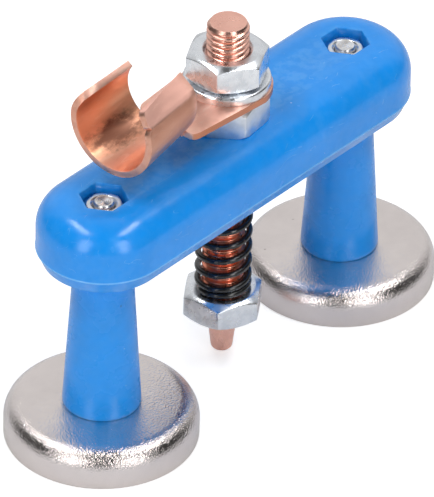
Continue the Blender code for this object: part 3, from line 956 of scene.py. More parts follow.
@dataclass
class Bridge:
    """The plastic bridge: a slot-shaped moulding with nut pockets and a bore for the rod."""

    low: float
    high: float
    leg_x: float
    half_width: float
    under_half: float = 0.01385
    parting: float = 0.0034
    edge_width: float = 0.0080
    edge_depth: float = 0.0078
    bead: float = 0.00010
    pocket_flats: float = 0.0098
    pocket_depth: float = 0.0065
    pocket_mouth: float = 0.0003
    screw_bore: float = 0.00275
    rod_bore: float = ROD_HOLE
    socket: tuple[float, float] = (0.0048, 0.0040)
    end_steps: int = 48
    cap_band: float = 0.0005

    def profile(self) -> np.ndarray:
        """Outline radius and height from the underside's rim to the top's rim.

        The lower half slopes out to the parting line, which stands out as a small bead. The
        top edge is a quarter of an ellipse: the radius falls by width times (1 - cos t) and
        the height reaches top less depth times (1 - sin t).

        Returns:
            Rows of radius and height.
        """
        parting = self.low + self.parting
        turn = np.linspace(0, math.pi / 2, 26)
        ellipse = np.stack([self.half_width - self.edge_width * (1 - np.cos(turn)),
                            self.high - self.edge_depth * (1 - np.sin(turn))], axis=1)
        start = np.array([[self.under_half - 2 * self.cap_band, self.low, 0],
                          [self.under_half, self.low, 0.0005],
                          [self.half_width - self.bead, parting - 2 * self.bead, 0.0001],
                          [self.half_width + self.bead, parting - self.bead, 0.0001],
                          [self.half_width + self.bead, parting + self.bead, 0.0001],
                          [self.half_width, parting + 2 * self.bead, 0.0001],
                          [self.half_width, self.high - self.edge_depth - 0.0002, 0]])
        rows = fillets(start, closed=False, steps=4)
        inner = ellipse[-1] - (self.cap_band, 0)
        return np.concatenate([rows, ellipse, inner[None]])

    def body(self) -> bpy.types.Object:
        """Sweep the profile round the slot-shaped outline and close top and underside.

        The outline's point at angle t is (s L + r cos t, r sin t), where s is 1 for the half
        of the turn round the right end and -1 for the half round the left end.

        Returns:
            The bridge without its holes.
        """
        profile = self.profile()
        turn = np.linspace(-math.pi / 2, math.pi / 2, self.end_steps + 1)
        angle = np.concatenate([turn, turn + math.pi])
        shift = np.repeat((self.leg_x, -self.leg_x), self.end_steps + 1)
        radius, height = profile[:, :1], profile[:, 1:2]
        points = np.stack([shift + radius * np.cos(angle), radius * np.sin(angle),
                           height + 0 * angle], axis=-1)
        count, rows = len(angle), len(profile)
        faces = quads(rows, count, False, True).tolist()
        faces.append(np.arange(count)[::-1].tolist())
        faces.append((np.arange(count) + (rows - 1) * count).tolist())
        return mesh_object("bridge_moulding", points, faces)

    def pocket(self, side: str, x: float) -> bpy.types.Object:
        """A hexagonal cutter with rounded corners and a rounded mouth.

        Args:
            side: left or right.
            x: place of the pocket's axis.

        Returns:
            The cutter.
        """
        turn = np.arange(6) * math.pi / 3
        corner = self.pocket_flats / 2 / math.cos(math.pi / 6)
        outline = fillets(np.stack([corner * np.cos(turn), corner * np.sin(turn), 0 * turn + 0.0006],
                                   axis=1), closed=True, steps=4)
        arc = np.linspace(0, math.pi / 2, 5)
        grow = self.pocket_mouth * (1 - np.cos(arc))
        rise = self.high - self.pocket_mouth * (1 - np.sin(arc))
        grow = np.concatenate([[0, 0], grow, grow[-1:] + 0.0001])
        rise = np.concatenate([[self.high - self.pocket_depth, self.high - 0.001], rise,
                               rise[-1:] + 0.001])
        stretch = 1 + grow[:, None] / (self.pocket_flats / 2)
        points = np.stack([x + stretch * outline[:, 0], stretch * outline[:, 1],
                           rise[:, None] + 0 * outline[:, 0]], axis=-1)
        count = len(outline)
        faces = quads(len(rise), count, False, True).tolist()
        faces += [np.arange(count)[::-1].tolist(), (np.arange(count) + (len(rise) - 1) * count).tolist()]
        return mesh_object("pocket_" + side, points, faces)

    def bore(self, name: str, x: float, radius: float, low: float, high: float,
             mouth: float = 0.0) -> bpy.types.Object:
        """A round cutter.

        Args:
            name: the cutter's name.
            x: place of its axis along the bridge.
            radius: its radius.
            low: its lower end.
            high: its upper end, where it has no mouth.
            mouth: size of the chamfer at the bridge's top, 0 for none.

        Returns:
            The cutter.
        """
        profile = np.array([[0, low], [radius, low], [radius, high], [0, high]])
        if mouth:
            profile = np.array([[0, low], [radius, low], [radius, self.high - mouth],
                                [radius + 2 * mouth, self.high + mouth], [0, self.high + mouth]])
        return turned(name, profile, x, count=64)

    def build(self) -> None:
        """Make the bridge and dress it."""
        piece = self.body()
        reach, sunk = self.socket
        below, above = self.low - 0.005, self.high + 0.005
        cutters = [self.bore("rod_bore", 0, self.rod_bore, below, above, 0.0004)]
        for side, sign in SIDES:
            x = sign * self.leg_x
            cutters.append(self.pocket(side, x))
            cutters.append(self.bore("screw_bore_" + side, x, self.screw_bore, below,
                                     self.high - self.pocket_depth + 0.001))
            cutters.append(self.bore("socket_" + side, x, reach, below, self.low + sunk))
        cut(piece, cutters)
        smooth(piece, math.radians(30))
        mark_edges(piece)
        finish_piece(piece, BRIDGE_BLUE, Body.BASE, ["bridge"])


@dataclass
class Leg:
    """A tapered plastic leg with the spigot that locates it in the bridge."""

    side: str
    x: float
    foot: float
    top: float
    foot_radius: float = 0.0090
    top_radius: float = 0.0067
    spigot_radius: float = 0.0045
    spigot_height: float = 0.0037
    bore: float = 0.00275
    flange: float = 0.00025

    def build(self) -> None:
        """Turn the leg's profile, with a small witness lip under the bridge, and dress it."""
        taper = np.linspace(0, 1, 12)[1:-1]
        foot_z, top_z = self.foot + 0.0004, self.top - 0.0012
        side = np.stack([self.foot_radius + (self.top_radius - self.foot_radius) * taper,
                         foot_z + (top_z - foot_z) * taper, 0 * taper], axis=1)
        corners = np.concatenate([
            np.array([[self.bore, self.foot, 0], [self.foot_radius - 0.0001, self.foot, 0.0003],
                      [self.foot_radius, foot_z + 0.0004, 0.0002]]),
            side,
            np.array([[self.top_radius, self.top - 0.0007, 0.0003],
                      [self.top_radius + self.flange, self.top, 0.0001],
                      [self.spigot_radius, self.top, 0],
                      [self.spigot_radius, self.top + self.spigot_height, 0.0003],
                      [self.bore, self.top + self.spigot_height, 0]])])
        piece = turned("leg_moulding_" + self.side, fillets(corners, closed=True, steps=4), self.x,
                       closed=True)
        smooth(piece)
        mark_edges(piece)
        finish_piece(piece, LEG_BLUE, Body.BASE, ["leg_" + self.side])


@dataclass
class PotMagnet:
    """A pot magnet: drawn steel cup, ferrite ring, potting and centre pole."""

    side: str
    x: float
    radius: float
    height: float
    edge: float = 0.0046
    wall: float = 0.0028
    floor: float = 0.0030
    potting: float = 0.0013
    pole_radius: float = 0.0075
    recess: float = 0.0003
    bore: float = 0.00275
    gap: float = GAP
    screw_head: float = 0.0051

    def cup(self) -> None:
        """Turn the cup: a flat top, an elliptical shoulder, a straight wall and an open mouth."""
        inner, inside = self.radius - self.wall, self.height - self.floor
        turn = np.linspace(math.pi / 2, 0, 24)
        shoulder = np.stack([self.radius - self.edge + self.edge * np.cos(turn),
                             self.height - self.edge + self.edge * np.sin(turn)], axis=1)
        crown = np.array([[self.bore, self.height], [self.radius - self.edge - 0.0008, self.height]])
        rest = fillets(np.array([[self.radius, self.height - self.edge - 0.0004, 0],
                                 [self.radius, 0, 0.0004], [inner, 0, 0.0003],
                                 [inner, inside, 0.0010], [self.bore, inside, 0]]),
                       closed=False, steps=5)
        piece = turned("steel_cup_" + self.side, np.concatenate([crown, shoulder, rest]), self.x,
                       closed=True, count=192)
        smooth(piece)
        mark_edges(piece)
        finish_piece(piece, CUP_NICKEL, Body.BASE, ["magnet_cup_" + self.side])

    def ring(self, name: str, inner: float, outer: float, top: float, finish: Finish, slot: Slot,
             node: str) -> None:
        """Turn a ring with rounded edges that fills part of the cup's mouth.

        Args:
            name: start of the piece's name.
            inner: inner radius.
            outer: outer radius.
            top: height of its upper face.
            finish: its surface finish.
            slot: the record's slot of its finish; not used.
            node: start of the frame's node's name.
        """
        corners = np.array([[outer, top, 0.0002], [outer, self.recess, 0.0002],
                            [inner, self.recess, 0.0002], [inner, top, 0.0002]])
        piece = turned(name + self.side, fillets(corners, closed=True, steps=3), self.x, closed=True)
        smooth(piece)
        mark_edges(piece)
        finish_piece(piece, finish, Body.BASE, [node + self.side])

    def build(self) -> None:
        """Make the cup and what fills it."""
        inner = self.radius - self.wall
        top = self.height - self.floor - self.gap
        middle = inner - self.potting
        self.cup()
        self.ring("potting_", middle, inner, top - 0.001, RESIN_BLACK, Slot.RESIN, "potting_ring_")
        self.ring("ferrite_ring_", self.pole_radius, middle, top, FERRITE_GREY, Slot.FERRITE,
                  "ring_magnet_")
        corners = np.array([[self.pole_radius, top, 0.0002], [self.pole_radius, self.recess, 0.0003],
                            [self.screw_head, self.recess, 0.0002], [self.bore, 0.0026, 0],
                            [self.bore, top, 0]])
        piece = turned("pole_disc_" + self.side, fillets(corners, closed=True, steps=4), self.x,
                       closed=True)
        smooth(piece)
        mark_edges(piece)
        finish_piece(piece, CUP_NICKEL, Body.BASE, ["centre_pole_" + self.side])


@dataclass
class HexagonNut:
    """A hexagon nut with conical chamfers at both ends and a countersunk bore."""

    name: str
    node: str
    flats: float
    low: float
    high: float
    bore: float
    turn: float
    x: float = 0.0
    face_share: float = 0.90
    base_share: float = 0.90
    mouth: float = 0.0009
    edge: float = 0.00014
    per_side: int = 16
    cone: float = 30.0

    def build(self, body: Body, finish: Finish) -> bpy.types.Object:
        """Make the nut and dress it.

        At the angle t the hexagon's radius is R(t) = half the flats over cos(t'), with t'
        the angle from the nearest flat's middle. The chamfer is a cone, so the side's edge
        drops by (R(t) - face radius) times the cone's slope. The section is a closed line of
        eight points that changes with t.

        Args:
            body: the body the nut rides on.
            finish: its surface finish.

        Returns:
            The nut.
        """
        count = 6 * self.per_side
        angle = np.arange(count) * math.tau / count
        from_flat = np.abs((angle % (math.pi / 3)) - math.pi / 6)
        hexagon = self.flats / 2 / np.cos(from_flat)
        same = np.ones(count)
        face = np.minimum(self.flats / 2 * self.face_share, hexagon)
        base = np.minimum(self.flats / 2 * self.base_share, hexagon - self.edge)
        slope = math.tan(math.radians(self.cone))
        drop, lift = (hexagon - face) * slope, (hexagon - base) * slope
        radius = np.stack([same * self.bore, same * (self.bore + self.mouth), base, hexagon,
                           hexagon, face, same * (self.bore + self.mouth), same * self.bore])
        height = np.stack([same * (self.low + self.mouth), same * self.low, same * self.low,
                           self.low + lift, self.high - drop, same * self.high, same * self.high,
                           same * (self.high - self.mouth)])
        points = np.stack([self.x + radius * np.cos(angle + self.turn),
                           radius * np.sin(angle + self.turn), height], axis=-1)
        piece = mesh_object(self.name, points, quads(8, count, True, True).tolist())
        bevel(piece, self.edge, 3, 20.0)
        smooth(piece, math.radians(24))
        mark_edges(piece)
        return finish_piece(piece, finish, body, [self.node])


@dataclass
class LegScrew:
    """A countersunk screw, head down, with a cross drive and a turned end."""

    side: str
    x: float
    end: float
    shank: float = 0.0024
    head: float = 0.0048
    face: float = 0.0005
    rim: float = 0.0003
    arm: float = 0.0026
    arm_half: float = 0.0005

    def build(self) -> None:
        """Make the screw: a threaded end with turning rings, a shank, a flared head."""
        neck = self.face + self.rim + self.head - self.shank
        rings = np.linspace(0, self.shank - 0.0005, 9)
        ripple = 0.00004 * np.cos(np.arange(9) * math.pi)
        end_face = np.stack([rings, self.end + ripple - 0.00004], axis=1)
        body = fillets(np.array([[self.shank - 0.0003, self.end, 0.0001],
                                 [self.shank, self.end - 0.0004, 0.0001],
                                 [self.shank, neck, 0.0002],
                                 [self.head, self.face + self.rim, 0.0001],
                                 [self.head, self.face, 0.0001], [0, self.face, 0]]),
                       closed=False, steps=3)
        piece = turned("leg_screw_" + self.side + "_steel", np.concatenate([end_face, body]), self.x,
                       count=96)
        turn = np.arange(4)[:, None] * math.pi / 2 + math.radians(20)
        outline = np.array([[self.arm_half, -self.arm_half], [self.arm, -self.arm_half],
                            [self.arm, self.arm_half]])
        cross_x = (outline[:, 0] * np.cos(turn) - outline[:, 1] * np.sin(turn)).ravel()
        cross_y = (outline[:, 0] * np.sin(turn) + outline[:, 1] * np.cos(turn)).ravel()
        share = np.array([1.25, 0.35])[:, None]
        level = np.array([self.face - 0.0008, self.face + 0.0022])[:, None]
        points = np.stack([self.x + share * cross_x, share * cross_y, level + 0 * cross_x], axis=-1)
        faces = quads(2, 12, False, True).tolist() + [list(range(11, -1, -1)), list(range(12, 24))]
        cut(piece, [mesh_object("drive_" + self.side, points, faces)])
        smooth(piece, math.radians(30))
        mark_edges(piece)
        finish_piece(piece, SCREW_ZINC, Body.BASE, ["leg_screw_" + self.side])


@dataclass
class ContactRod:
    """The copper contact rod: a rolled thread over its length and a tapered contact tip."""

    low: float
    high: float
    shoulder: float
    crest: float = 0.00488
    root: float = 0.00412
    top_flat: float = 0.0042
    chamfer: float = 0.0010
    pitch: float = 0.0015
    rows_per_turn: int = 14
    columns: int = 72
    tip_root: float = 0.0037
    tip_end: float = 0.0024
    tip_edge: float = 0.0012

    def build(self) -> None:
        """Make the rod.

        The thread's phase at height z and angle t is z / pitch - t / 2 pi, and its radius
        is root + (crest - root) times a rounded triangle wave of the phase. The top's
        chamfer and the shoulder limit the radius from outside.
        """
        count = round((self.high - self.shoulder) / self.pitch * self.rows_per_turn)
        height = np.linspace(self.high, self.shoulder, count)[:, None]
        angle = np.arange(self.columns)[None, :] * math.tau / self.columns
        phase = (height / self.pitch - angle / math.tau) % 1.0
        wave = np.abs(phase * 2 - 1)
        wave = blend_in(wave * 1.25 - 0.10)
        radius = self.root + (self.crest - self.root) * wave
        below_top = self.high - height
        limit = self.top_flat + below_top * (self.crest - self.top_flat) / self.chamfer
        above = self.tip_root + (height - self.shoulder) * 1.6
        radius = np.minimum(np.minimum(radius, np.maximum(limit, self.top_flat)), above)
        sleeve = np.stack([radius * np.cos(angle), radius * np.sin(angle),
                           height + 0 * angle], axis=-1)
        dish = np.linspace(0, 0.97, 6)[:, None] * self.top_flat
        face = np.stack([dish * np.cos(angle), dish * np.sin(angle),
                         self.high + 0 * dish + 0 * angle], axis=-1)
        tip = fillets(np.array([[self.tip_root, self.shoulder - 0.0001, 0],
                                [self.tip_end, self.low, self.tip_edge], [0, self.low, 0]]),
                      closed=False, steps=8)
        taper = np.stack([tip[:, :1] * np.cos(angle), tip[:, :1] * np.sin(angle),
                          tip[:, 1:2] + 0 * angle], axis=-1)
        points = np.concatenate([face, sleeve, taper])
        piece = mesh_object("threaded_rod", points, quads(len(points), self.columns, False, True).tolist())
        smooth(piece, math.radians(50))
        mark_edges(piece, 70.0)
        finish_piece(piece, THREAD_COPPER, Body.ROD, ["contact_rod"])


@dataclass
class PlainWasher:
    """A flat washer, pressed, with one rounded edge."""

    low: float
    high: float
    radius: float
    bore: float

    def build(self) -> None:
        """Turn the washer's section and dress it."""
        corners = np.array([[self.radius, self.low, 0.00015], [self.radius, self.high, 0.0006],
                            [self.bore, self.high, 0.0002], [self.bore, self.low, 0.0001]])
        piece = turned("plain_washer", fillets(corners[::-1], closed=True, steps=6), closed=True)
        smooth(piece)
        mark_edges(piece)
        finish_piece(piece, NUT_ZINC, Body.WASHER, ["flat_washer"])


@dataclass
class SheetLug:
    """The cable lug: a flat palm round the rod, a neck, and an open rolled barrel."""

    low: float
    sheet: float = SHEET
    hole: float = ROD_HOLE
    palm_radius: float = 0.0104
    palm_side: float = 0.0103
    palm_reach: float = 0.0208
    palm_end_side: float = 0.0084
    start: float = 0.0209
    length: float = 0.0181
    skew: tuple[float, float] = (0.0035, 0.0030)
    radius: tuple[float, float] = (0.0092, 0.0103)
    offset: tuple[float, float] = (0.0003, -0.0011)
    drop: float = 0.0020
    wing: tuple[float, float] = (127.0, 131.0)
    crease: tuple[float, float] = (109.0, 113.0)
    flap: tuple[float, float] = (0.0046, 0.0034)
    flap_turn: tuple[float, float] = (44.0, 8.0)
    neck_angles: tuple[float, float] = (34.0, -46.0)
    neck_sides: tuple[float, float] = (0.0048, -0.0052)
    corner: float = 0.0052
    columns: int = 56
    fold_columns: int = 6
    flap_columns: int = 6
    rows: int = 30
    neck_rows: int = 8
    palm_rings: int = 5
    palm_arc: int = 40

    def level(self) -> float:
        """Height of the sheet's middle in the palm."""
        return self.low + self.sheet / 2

    def pair(self, name: tuple[float, float], share: np.ndarray) -> np.ndarray:
        """A value that runs from the barrel's start to its open end."""
        return name[0] + (name[1] - name[0]) * share

    def barrel(self) -> np.ndarray:
        """Middle surface of the barrel.

        The section is an arc from the open wing round the floor to the crease, a tight
        fold, and a straight flap. Every size of it runs evenly from the palm's end to the
        open end. Along the barrel, x starts and ends further out at the wing than at the
        flap, and is drawn in at the wing's free corner by a quarter circle.

        Returns:
            Points on a grid of rows along the barrel and columns across the sheet.
        """
        share = np.linspace(0, 1, self.rows)[:, None]
        radius, offset = self.pair(self.radius, share), self.pair(self.offset, share)
        centre = self.level() - self.drop * share + radius
        wing, crease = np.radians(self.pair(self.wing, share)), np.radians(self.pair(self.crease, share))
        turn, width = np.radians(self.pair(self.flap_turn, share)), self.pair(self.flap, share)
        angle = wing - (wing + crease) * np.linspace(0, 1, self.columns)[None, :]
        y = offset + radius * np.sin(angle)
        z = centre - radius * np.cos(angle)
        heading = math.pi - crease
        bend = heading - turn * (np.arange(self.fold_columns)[None, :] + 0.5) / self.fold_columns
        step = self.sheet * 0.8 / self.fold_columns
        fold_y = y[:, -1:] + np.cumsum(step * np.cos(bend), axis=1)
        fold_z = z[:, -1:] + np.cumsum(step * np.sin(bend), axis=1)
        run = np.linspace(0, 1, self.flap_columns + 1)[None, 1:] * width
        flap_y = fold_y[:, -1:] + run * np.cos(heading - turn)
        flap_z = fold_z[:, -1:] + run * np.sin(heading - turn)
        y = np.concatenate([y, fold_y, flap_y], axis=1)
        z = np.concatenate([z, fold_z, flap_z], axis=1)
        across = np.linspace(1, 0, y.shape[1])[None, :]
        walked = np.cumsum(np.hypot(np.diff(y[-1]), np.diff(z[-1])))
        walked = np.concatenate([[0], walked])[None, :]
        rounding = self.corner - np.sqrt(np.clip(
            self.corner ** 2 - np.clip(self.corner - walked, 0, None) ** 2, 0, None))
        back = walked[:, -1:] - walked
        small = self.sheet
        rounding = rounding + 0.3 * (small - np.sqrt(np.clip(
            small ** 2 - np.clip(small - back, 0, None) ** 2, 0, None)))
        notch = 0.0009 * np.exp(-((walked - walked[:, self.columns:self.columns + 1]) / 0.0005) ** 2)
        begin = self.start + self.skew[0] * across
        finish = self.start + self.length + self.skew[1] * across - rounding - notch
        x = -(begin + (finish - begin) * share)
        return np.stack([x, y, z], axis=-1)

    def build(self) -> None:
        """Join barrel, neck and palm in one sheet, thicken it and dress it.

        The neck's rows run from the flat palm's end to the barrel's first row by a smooth
        step. The palm is a ring of rows from the hole's circle to its outline.
        """
        barrel = self.barrel()
        wing = math.radians(self.wing[0])
        angle = wing - (wing + math.radians(self.crease[0])) * np.linspace(0, 1, self.columns)
        first = int(np.argmin(np.abs(angle - math.radians(self.neck_angles[0]))))
        last = int(np.argmin(np.abs(angle - math.radians(self.neck_angles[1]))))
        joined = barrel[0, first:last + 1]
        spread = np.linspace(self.neck_sides[0], self.neck_sides[1], last - first + 1)
        flat = np.stack([0 * spread - self.palm_reach, spread, 0 * spread + self.level()], axis=1)
        share = np.linspace(0, 1, self.neck_rows)[:, None]
        ease = blend_in(share)
        neck = np.stack([flat[:, 0] + (joined[:, 0] - flat[:, 0]) * share,
                         flat[:, 1] + (joined[:, 1] - flat[:, 1]) * ease,
                         flat[:, 2] + (joined[:, 2] - flat[:, 2]) * ease ** 1.4], axis=-1)
        limit = math.asin(self.palm_side / self.palm_radius)
        sweep = np.linspace(-limit, limit, self.palm_arc)
        nose = np.stack([self.palm_radius * np.cos(sweep), self.palm_radius * np.sin(sweep)], axis=1)
        run = np.linspace(0, 1, 12)[1:-1, None]
        corner = np.array([-self.palm_reach, self.palm_end_side])
        side = nose[-1] + (corner - nose[-1]) * run
        trim = np.array([[0.0, -0.0012], [0.0004, -0.0004], [0.0012, 0.0]])
        near = corner * (1, -1)
        outline = np.concatenate([nose, side, (corner + trim[::-1]), flat[:, :2],
                                  near + trim * (1, -1), (side * (1, -1))[::-1]])
        outline = np.concatenate([outline, outline[:1]])
        inner = outline / np.linalg.norm(outline, axis=1, keepdims=True) * self.hole
        ring = np.linspace(0, 1, self.palm_rings)[:, None, None]
        palm = inner + (outline - inner) * ring
        palm = np.concatenate([palm, 0 * palm[..., :1] + self.level()], axis=-1)
        points, faces, base = [], [], 0
        for grid in (barrel, neck, palm):
            points.append(grid.reshape(-1, 3))
            faces += (quads(grid.shape[0], grid.shape[1]) + base).tolist()
            base += grid.shape[0] * grid.shape[1]
        piece = mesh_object("sheet_lug", np.concatenate(points), faces)
        wall = piece.modifiers.new("wall", "SOLIDIFY")
        wall.thickness = self.sheet
        wall.offset = 0.0
        wall.use_even_offset = True
        settle(piece)
        bevel(piece, 0.0003, 3, 50.0)
        smooth(piece, math.radians(40))
        mark_edges(piece, 30.0)
        self.mark_sides(piece)
        finish_piece(piece, LUG_COPPER, Body.LUG, ["cable_lug"])

    def mark_sides(self, piece: bpy.types.Object) -> None:
        """Write the attributes "inside", "flap", "film" and "rim".

        With u the direction to the line through the section's centres and n the normal,
        inside grows with n.u; it masks the painted bounce tint and the dark patch. The flap,
        which gets a painted highlight, lies past the crease's angle on the near side. The
        outer mask, painted shade, covers the outside, where n.u is negative below the crease.
        The rim, painted shade on the cut edges, is where the normal lies in the sheet: level
        round the palm, and along x at the barrel's ends.

        Args:
            piece: the lug.
        """
        count = len(piece.data.vertices)
        place, normal = np.zeros(count * 3), np.zeros(count * 3)
        piece.data.vertices.foreach_get("co", place)
        piece.data.vertices.foreach_get("normal", normal)
        place, normal = place.reshape(-1, 3), normal.reshape(-1, 3)
        share = np.clip((-place[:, 0] - self.start) / self.length, 0, 1)
        middle = np.stack([self.pair(self.offset, share),
                           self.level() - self.drop * share + self.pair(self.radius, share)], axis=1)
        towards = middle - place[:, 1:]
        angle = np.degrees(np.arctan2(towards[:, 0], towards[:, 1]))
        towards /= np.maximum(np.linalg.norm(towards, axis=1, keepdims=True), 1e-9)
        facing = (towards * normal[:, 1:]).sum(axis=1)
        rolled = blend_in((-place[:, 0] - self.start) / 0.003)
        past = angle - self.pair(self.crease, share)
        near = (angle > 0) * rolled
        level = blend_in(1.6 - 2 * np.abs(normal[:, 2])) * (place[:, 0] > -self.palm_reach)
        ends = blend_in(np.abs(normal[:, 0]) * 3 - 1.6) * rolled
        # Masks of painted light: bounce tint inside, highlight on the flap, shade outside and on the rim;
        # inside also holds the dark patch.
        values = {"inside": np.clip(facing * 3 - 1, 0, 1) * rolled * (past < 0),
                  "flap": np.clip(past / 5, 0, 1) * near * (1 - ends),
                  "painted_outer_shade": np.clip(-facing * 3 - 0.5, 0, 1) * rolled * (past < 4),
                  "rim": np.maximum(level, 0.45 * ends)}
        for name, value in values.items():
            attribute = piece.data.attributes.new(name, "FLOAT", "POINT")
            attribute.data.foreach_set("value", value)


@dataclass
class CoilSpring:
    """The black compression spring, close-wound at both ends."""

    low: float
    high: float
    radius: float = 0.00585
    wire: float = 0.00075
    turns: float = 8.6
    closed_turns: float = 0.95
    easing: float = 0.5
    closed_pitch: float = 0.00153
    first_angle: float = 148.0
    per_turn: int = 44
    keep: float = 0.66

    def build(self) -> None:
        """Make the spring.

        The path's angle grows evenly. Its rise in each step goes from the closed pitch to
        the open pitch by a smooth step near both ends, and is summed and scaled to fill the
        space between nut and bridge.
        """
        count = round(self.turns * self.per_turn)
        turn = np.linspace(0, self.turns, count)
        from_end = np.minimum(turn, self.turns - turn)
        openness = blend_in((from_end - self.closed_turns) / self.easing)
        space = self.high - self.low - 2 * self.wire
        step = self.turns / (count - 1)
        closed_rise = self.closed_pitch * step * (count - 1)
        open_pitch = (space - closed_rise) / (openness.sum() * step)
        rise = np.concatenate([[0], np.cumsum((self.closed_pitch + openness * open_pitch)[1:] * step)])
        height = self.low + self.wire + rise / rise[-1] * space
        angle = turn * math.tau + math.radians(self.first_angle)
        path = np.stack([self.radius * np.cos(angle), self.radius * np.sin(angle), height], axis=1)
        ends = np.minimum(np.arange(count), np.arange(count)[::-1])
        thickness = self.wire * np.select([ends == 0, ends == 1], [0.0, 0.8], 1.0)
        piece = tube("coil_spring", path, thickness, 16)
        smooth(piece, math.radians(60))
        finish_piece(piece, SPRING_BLACK, Body.SPRING, ["spring"])
        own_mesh(piece)


# Studio


@dataclass
class Studio:
    """The camera, the pale floor and the soft lights."""

    azimuth: float = -49.67
    elevation: float = 35.84
    roll: float = 1.2
    distance: float = 2.0088
    lens: float = 632.9
    shift_right: float = 0.00099
    shift_up: float = 0.02322

    def directions(self) -> tuple[Vector, Vector, Vector]:
        """Work out the camera's right, up and backward directions.

        Returns:
            Three unit vectors.
        """
        a, e, r = (math.radians(v) for v in (self.azimuth, self.elevation, self.roll))
        back = Vector((math.sin(a) * math.cos(e), -math.cos(a) * math.cos(e), math.sin(e)))
        right = (-back).cross(Vector((0, 0, 1))).normalized()
        up = right.cross(-back)
        return (right * math.cos(r) + up * math.sin(r), up * math.cos(r) - right * math.sin(r), back)

    def camera(self) -> None:
        """Make the camera and make it the scene's."""
        right, up, back = self.directions()
        data = bpy.data.cameras.new("camera")
        data.lens = self.lens
        data.sensor_width = 36.0
        data.clip_start, data.clip_end = 0.05, 20.0
        made = bpy.data.objects.new("camera", data)
        place = back * self.distance - right * self.shift_right + up * self.shift_up
        made.matrix_world = Matrix.Translation(place) @ Matrix((right, up, back)).transposed().to_4x4()
        bpy.context.scene.collection.objects.link(made)
        bpy.context.scene.camera = made

    def softbox(self, name: str, turn: float, rise: float, away: float, size: tuple[float, float],
                power: float, spin: float = 0.0) -> None:
        """Place a softbox that faces the object.

        Args:
            name: the light's name.
            turn: angle from the camera's side round the object, in degrees, + to its right.
            rise: angle above the horizon, in degrees.
            away: distance from the object's middle.
            size: width and height.
            power: in watts.
            spin: turn about its own axis, in degrees.
        """
        a = math.radians(self.azimuth + turn)
        e = math.radians(rise)
        back = Vector((math.sin(a) * math.cos(e), -math.cos(a) * math.cos(e), math.sin(e)))
        data = bpy.data.lights.new(name, "AREA")
        data.shape = "RECTANGLE"
        data.size, data.size_y = size
        data.energy = power
        made = bpy.data.objects.new(name, data)
        made.location = Vector((0, 0, 0.05)) + back * away
        made.rotation_mode = "QUATERNION"
        made.rotation_quaternion = back.to_track_quat("Z", "Y")
        made.rotation_quaternion @= Matrix.Rotation(math.radians(spin), 4, "Z").to_quaternion()
        bpy.context.scene.collection.objects.link(made)

    def floor(self) -> None:
        """Lay a plain pale floor under the magnets."""
        reach = 6.0
        points = np.array([[-reach, -reach, 0], [reach, -reach, 0], [reach, reach, 0],
                           [-reach, reach, 0]])
        made = mesh_object("floor", points, [[0, 1, 2, 3]])
        material = bpy.data.materials.new("pale_floor")
        material.use_nodes = True
        shader = material.node_tree.nodes["Principled BSDF"]
        shader.inputs["Base Color"].default_value = (0.72, 0.72, 0.72, 1)
        shader.inputs["Roughness"].default_value = 0.9
        shader.inputs["Specular IOR Level"].default_value = 0.1
        shader.inputs["Emission Color"].default_value = (1, 1, 1, 1)
        weaver = Weaver(material.node_tree)
        seen = weaver.add("LightPath").outputs["Is Camera Ray"]
        glow = weaver.sum("ADD", weaver.sum("MULTIPLY", seen, 0.45), 0.12)
        material.node_tree.links.new(glow, shader.inputs["Emission Strength"])
        made.data.materials.append(material)

    def world(self) -> None:
        """Surround the object with a room: bright behind it and dim all round.

        The brightness depends on the direction only: a base level, and a back wall that
        comes in by a smooth step as the direction turns towards its middle.
        """
        world = bpy.data.worlds.new("room")
        bpy.context.scene.world = world
        world.use_nodes = True
        weaver = Weaver(world.node_tree)
        background = world.node_tree.nodes["Background"]
        a = math.radians(self.azimuth)
        behind = (-math.sin(a), math.cos(a), 0.55)
        direction = weaver.add("TexCoord").outputs["Generated"]
        unit = weaver.add("VectorMath", {0: direction}, operation="NORMALIZE").outputs[0]
        facing = weaver.add("VectorMath", {0: unit, 1: Vector(behind).normalized()},
                            operation="DOT_PRODUCT").outputs["Value"]
        wall = weaver.span(facing, 0.40, 0.85, 0.0, 0.74)
        level = weaver.sum("ADD", wall, 0.06)
        background.inputs["Color"].default_value = (1, 1, 1, 1)
        world.node_tree.links.new(level, background.inputs["Strength"])

    def build(self) -> None:
        """Make the camera, the floor, the room and the lights."""
        self.camera()
        self.floor()
        self.world()
        self.softbox("front_left", -33, 22, 0.9, (0.24, 0.62), 2.3)
        self.softbox("front_right", 33, 21, 0.9, (0.24, 0.62), 2.3)
        self.softbox("overhead_left", -78, 62, 0.9, (0.64, 0.13), 2.7)
        self.softbox("overhead_right", 78, 62, 0.9, (0.64, 0.13), 2.7)
        scene = bpy.context.scene
        scene.view_settings.view_transform = "Standard"
        scene.view_settings.look = "None"


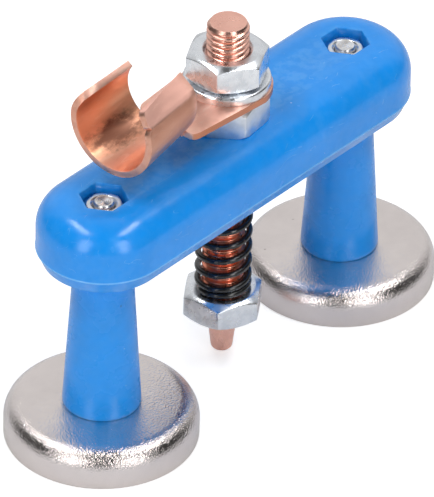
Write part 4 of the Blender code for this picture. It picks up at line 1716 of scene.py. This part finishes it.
def main() -> None:
    """Build the studio and every sub-assembly in order."""
    logging.basicConfig(level=logging.INFO, format="%(name)s: %(message)s")
    for item in list(bpy.data.objects):
        if item.type in {"CAMERA", "LIGHT"}:
            bpy.data.objects.remove(item, do_unlink=True)
    Studio().build()

    bridge_low, bridge_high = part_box("bridge")
    cup_low, cup_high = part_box("magnet_cup_right")
    leg_x = (cup_low.x + cup_high.x) / 2
    cup_radius, cup_height = (cup_high.x - cup_low.x) / 2, cup_high.z
    Bridge(bridge_low.z, bridge_high.z, leg_x, (bridge_high.y - bridge_low.y) / 2).build()
    for side, sign in SIDES:
        x = sign * leg_x
        Leg(side, x, cup_height, bridge_low.z).build()
        PotMagnet(side, x, cup_radius, cup_height).build()
        low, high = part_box("leg_nut_" + side)
        nut = HexagonNut("small_nut_" + side, "leg_nut_" + side, LEG_NUT_FLATS, low.z, high.z,
                         LEG_NUT_BORE, 0.0, x, face_share=0.975, base_share=0.975, mouth=0.0006,
                         edge=0.0001, per_side=12)
        nut.build(Body.BASE, NUT_ZINC)
        LegScrew(side, x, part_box("leg_screw_" + side)[1].z).build()
    rod_low, rod_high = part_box("contact_rod")
    washer_low, washer_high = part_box("flat_washer")
    nut_low, nut_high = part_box("spring_nut")
    clamp_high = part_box("clamp_nut")[1]
    palm = washer_low.z - GAP - SHEET
    HexagonNut("rod_stop_nut", "stop_nut", ROD_NUT_FLATS, bridge_high.z, palm, ROD_NUT_BORE,
               STOP_NUT_TURN, face_share=0.84, base_share=1.06, cone=42.0).build(Body.ROD, DULL_ZINC)
    HexagonNut("rod_spring_nut", "spring_nut", ROD_NUT_FLATS, nut_low.z, nut_high.z, ROD_NUT_BORE,
               SPRING_NUT_TURN).build(Body.ROD, NUT_ZINC)
    HexagonNut("rod_clamp_nut", "clamp_nut", ROD_NUT_FLATS, washer_high.z, clamp_high.z,
               ROD_NUT_BORE, CLAMP_NUT_TURN).build(Body.CLAMP_NUT, NUT_ZINC)
    ContactRod(rod_low.z, rod_high.z, nut_low.z + GAP).build()
    PlainWasher(washer_low.z - GAP, washer_high.z, washer_high.x, ROD_HOLE).build()
    SheetLug(palm).build()
    CoilSpring(nut_high.z, bridge_low.z).build()

    LOG.info("sizes written")


if __name__ == "__main__":
    main()
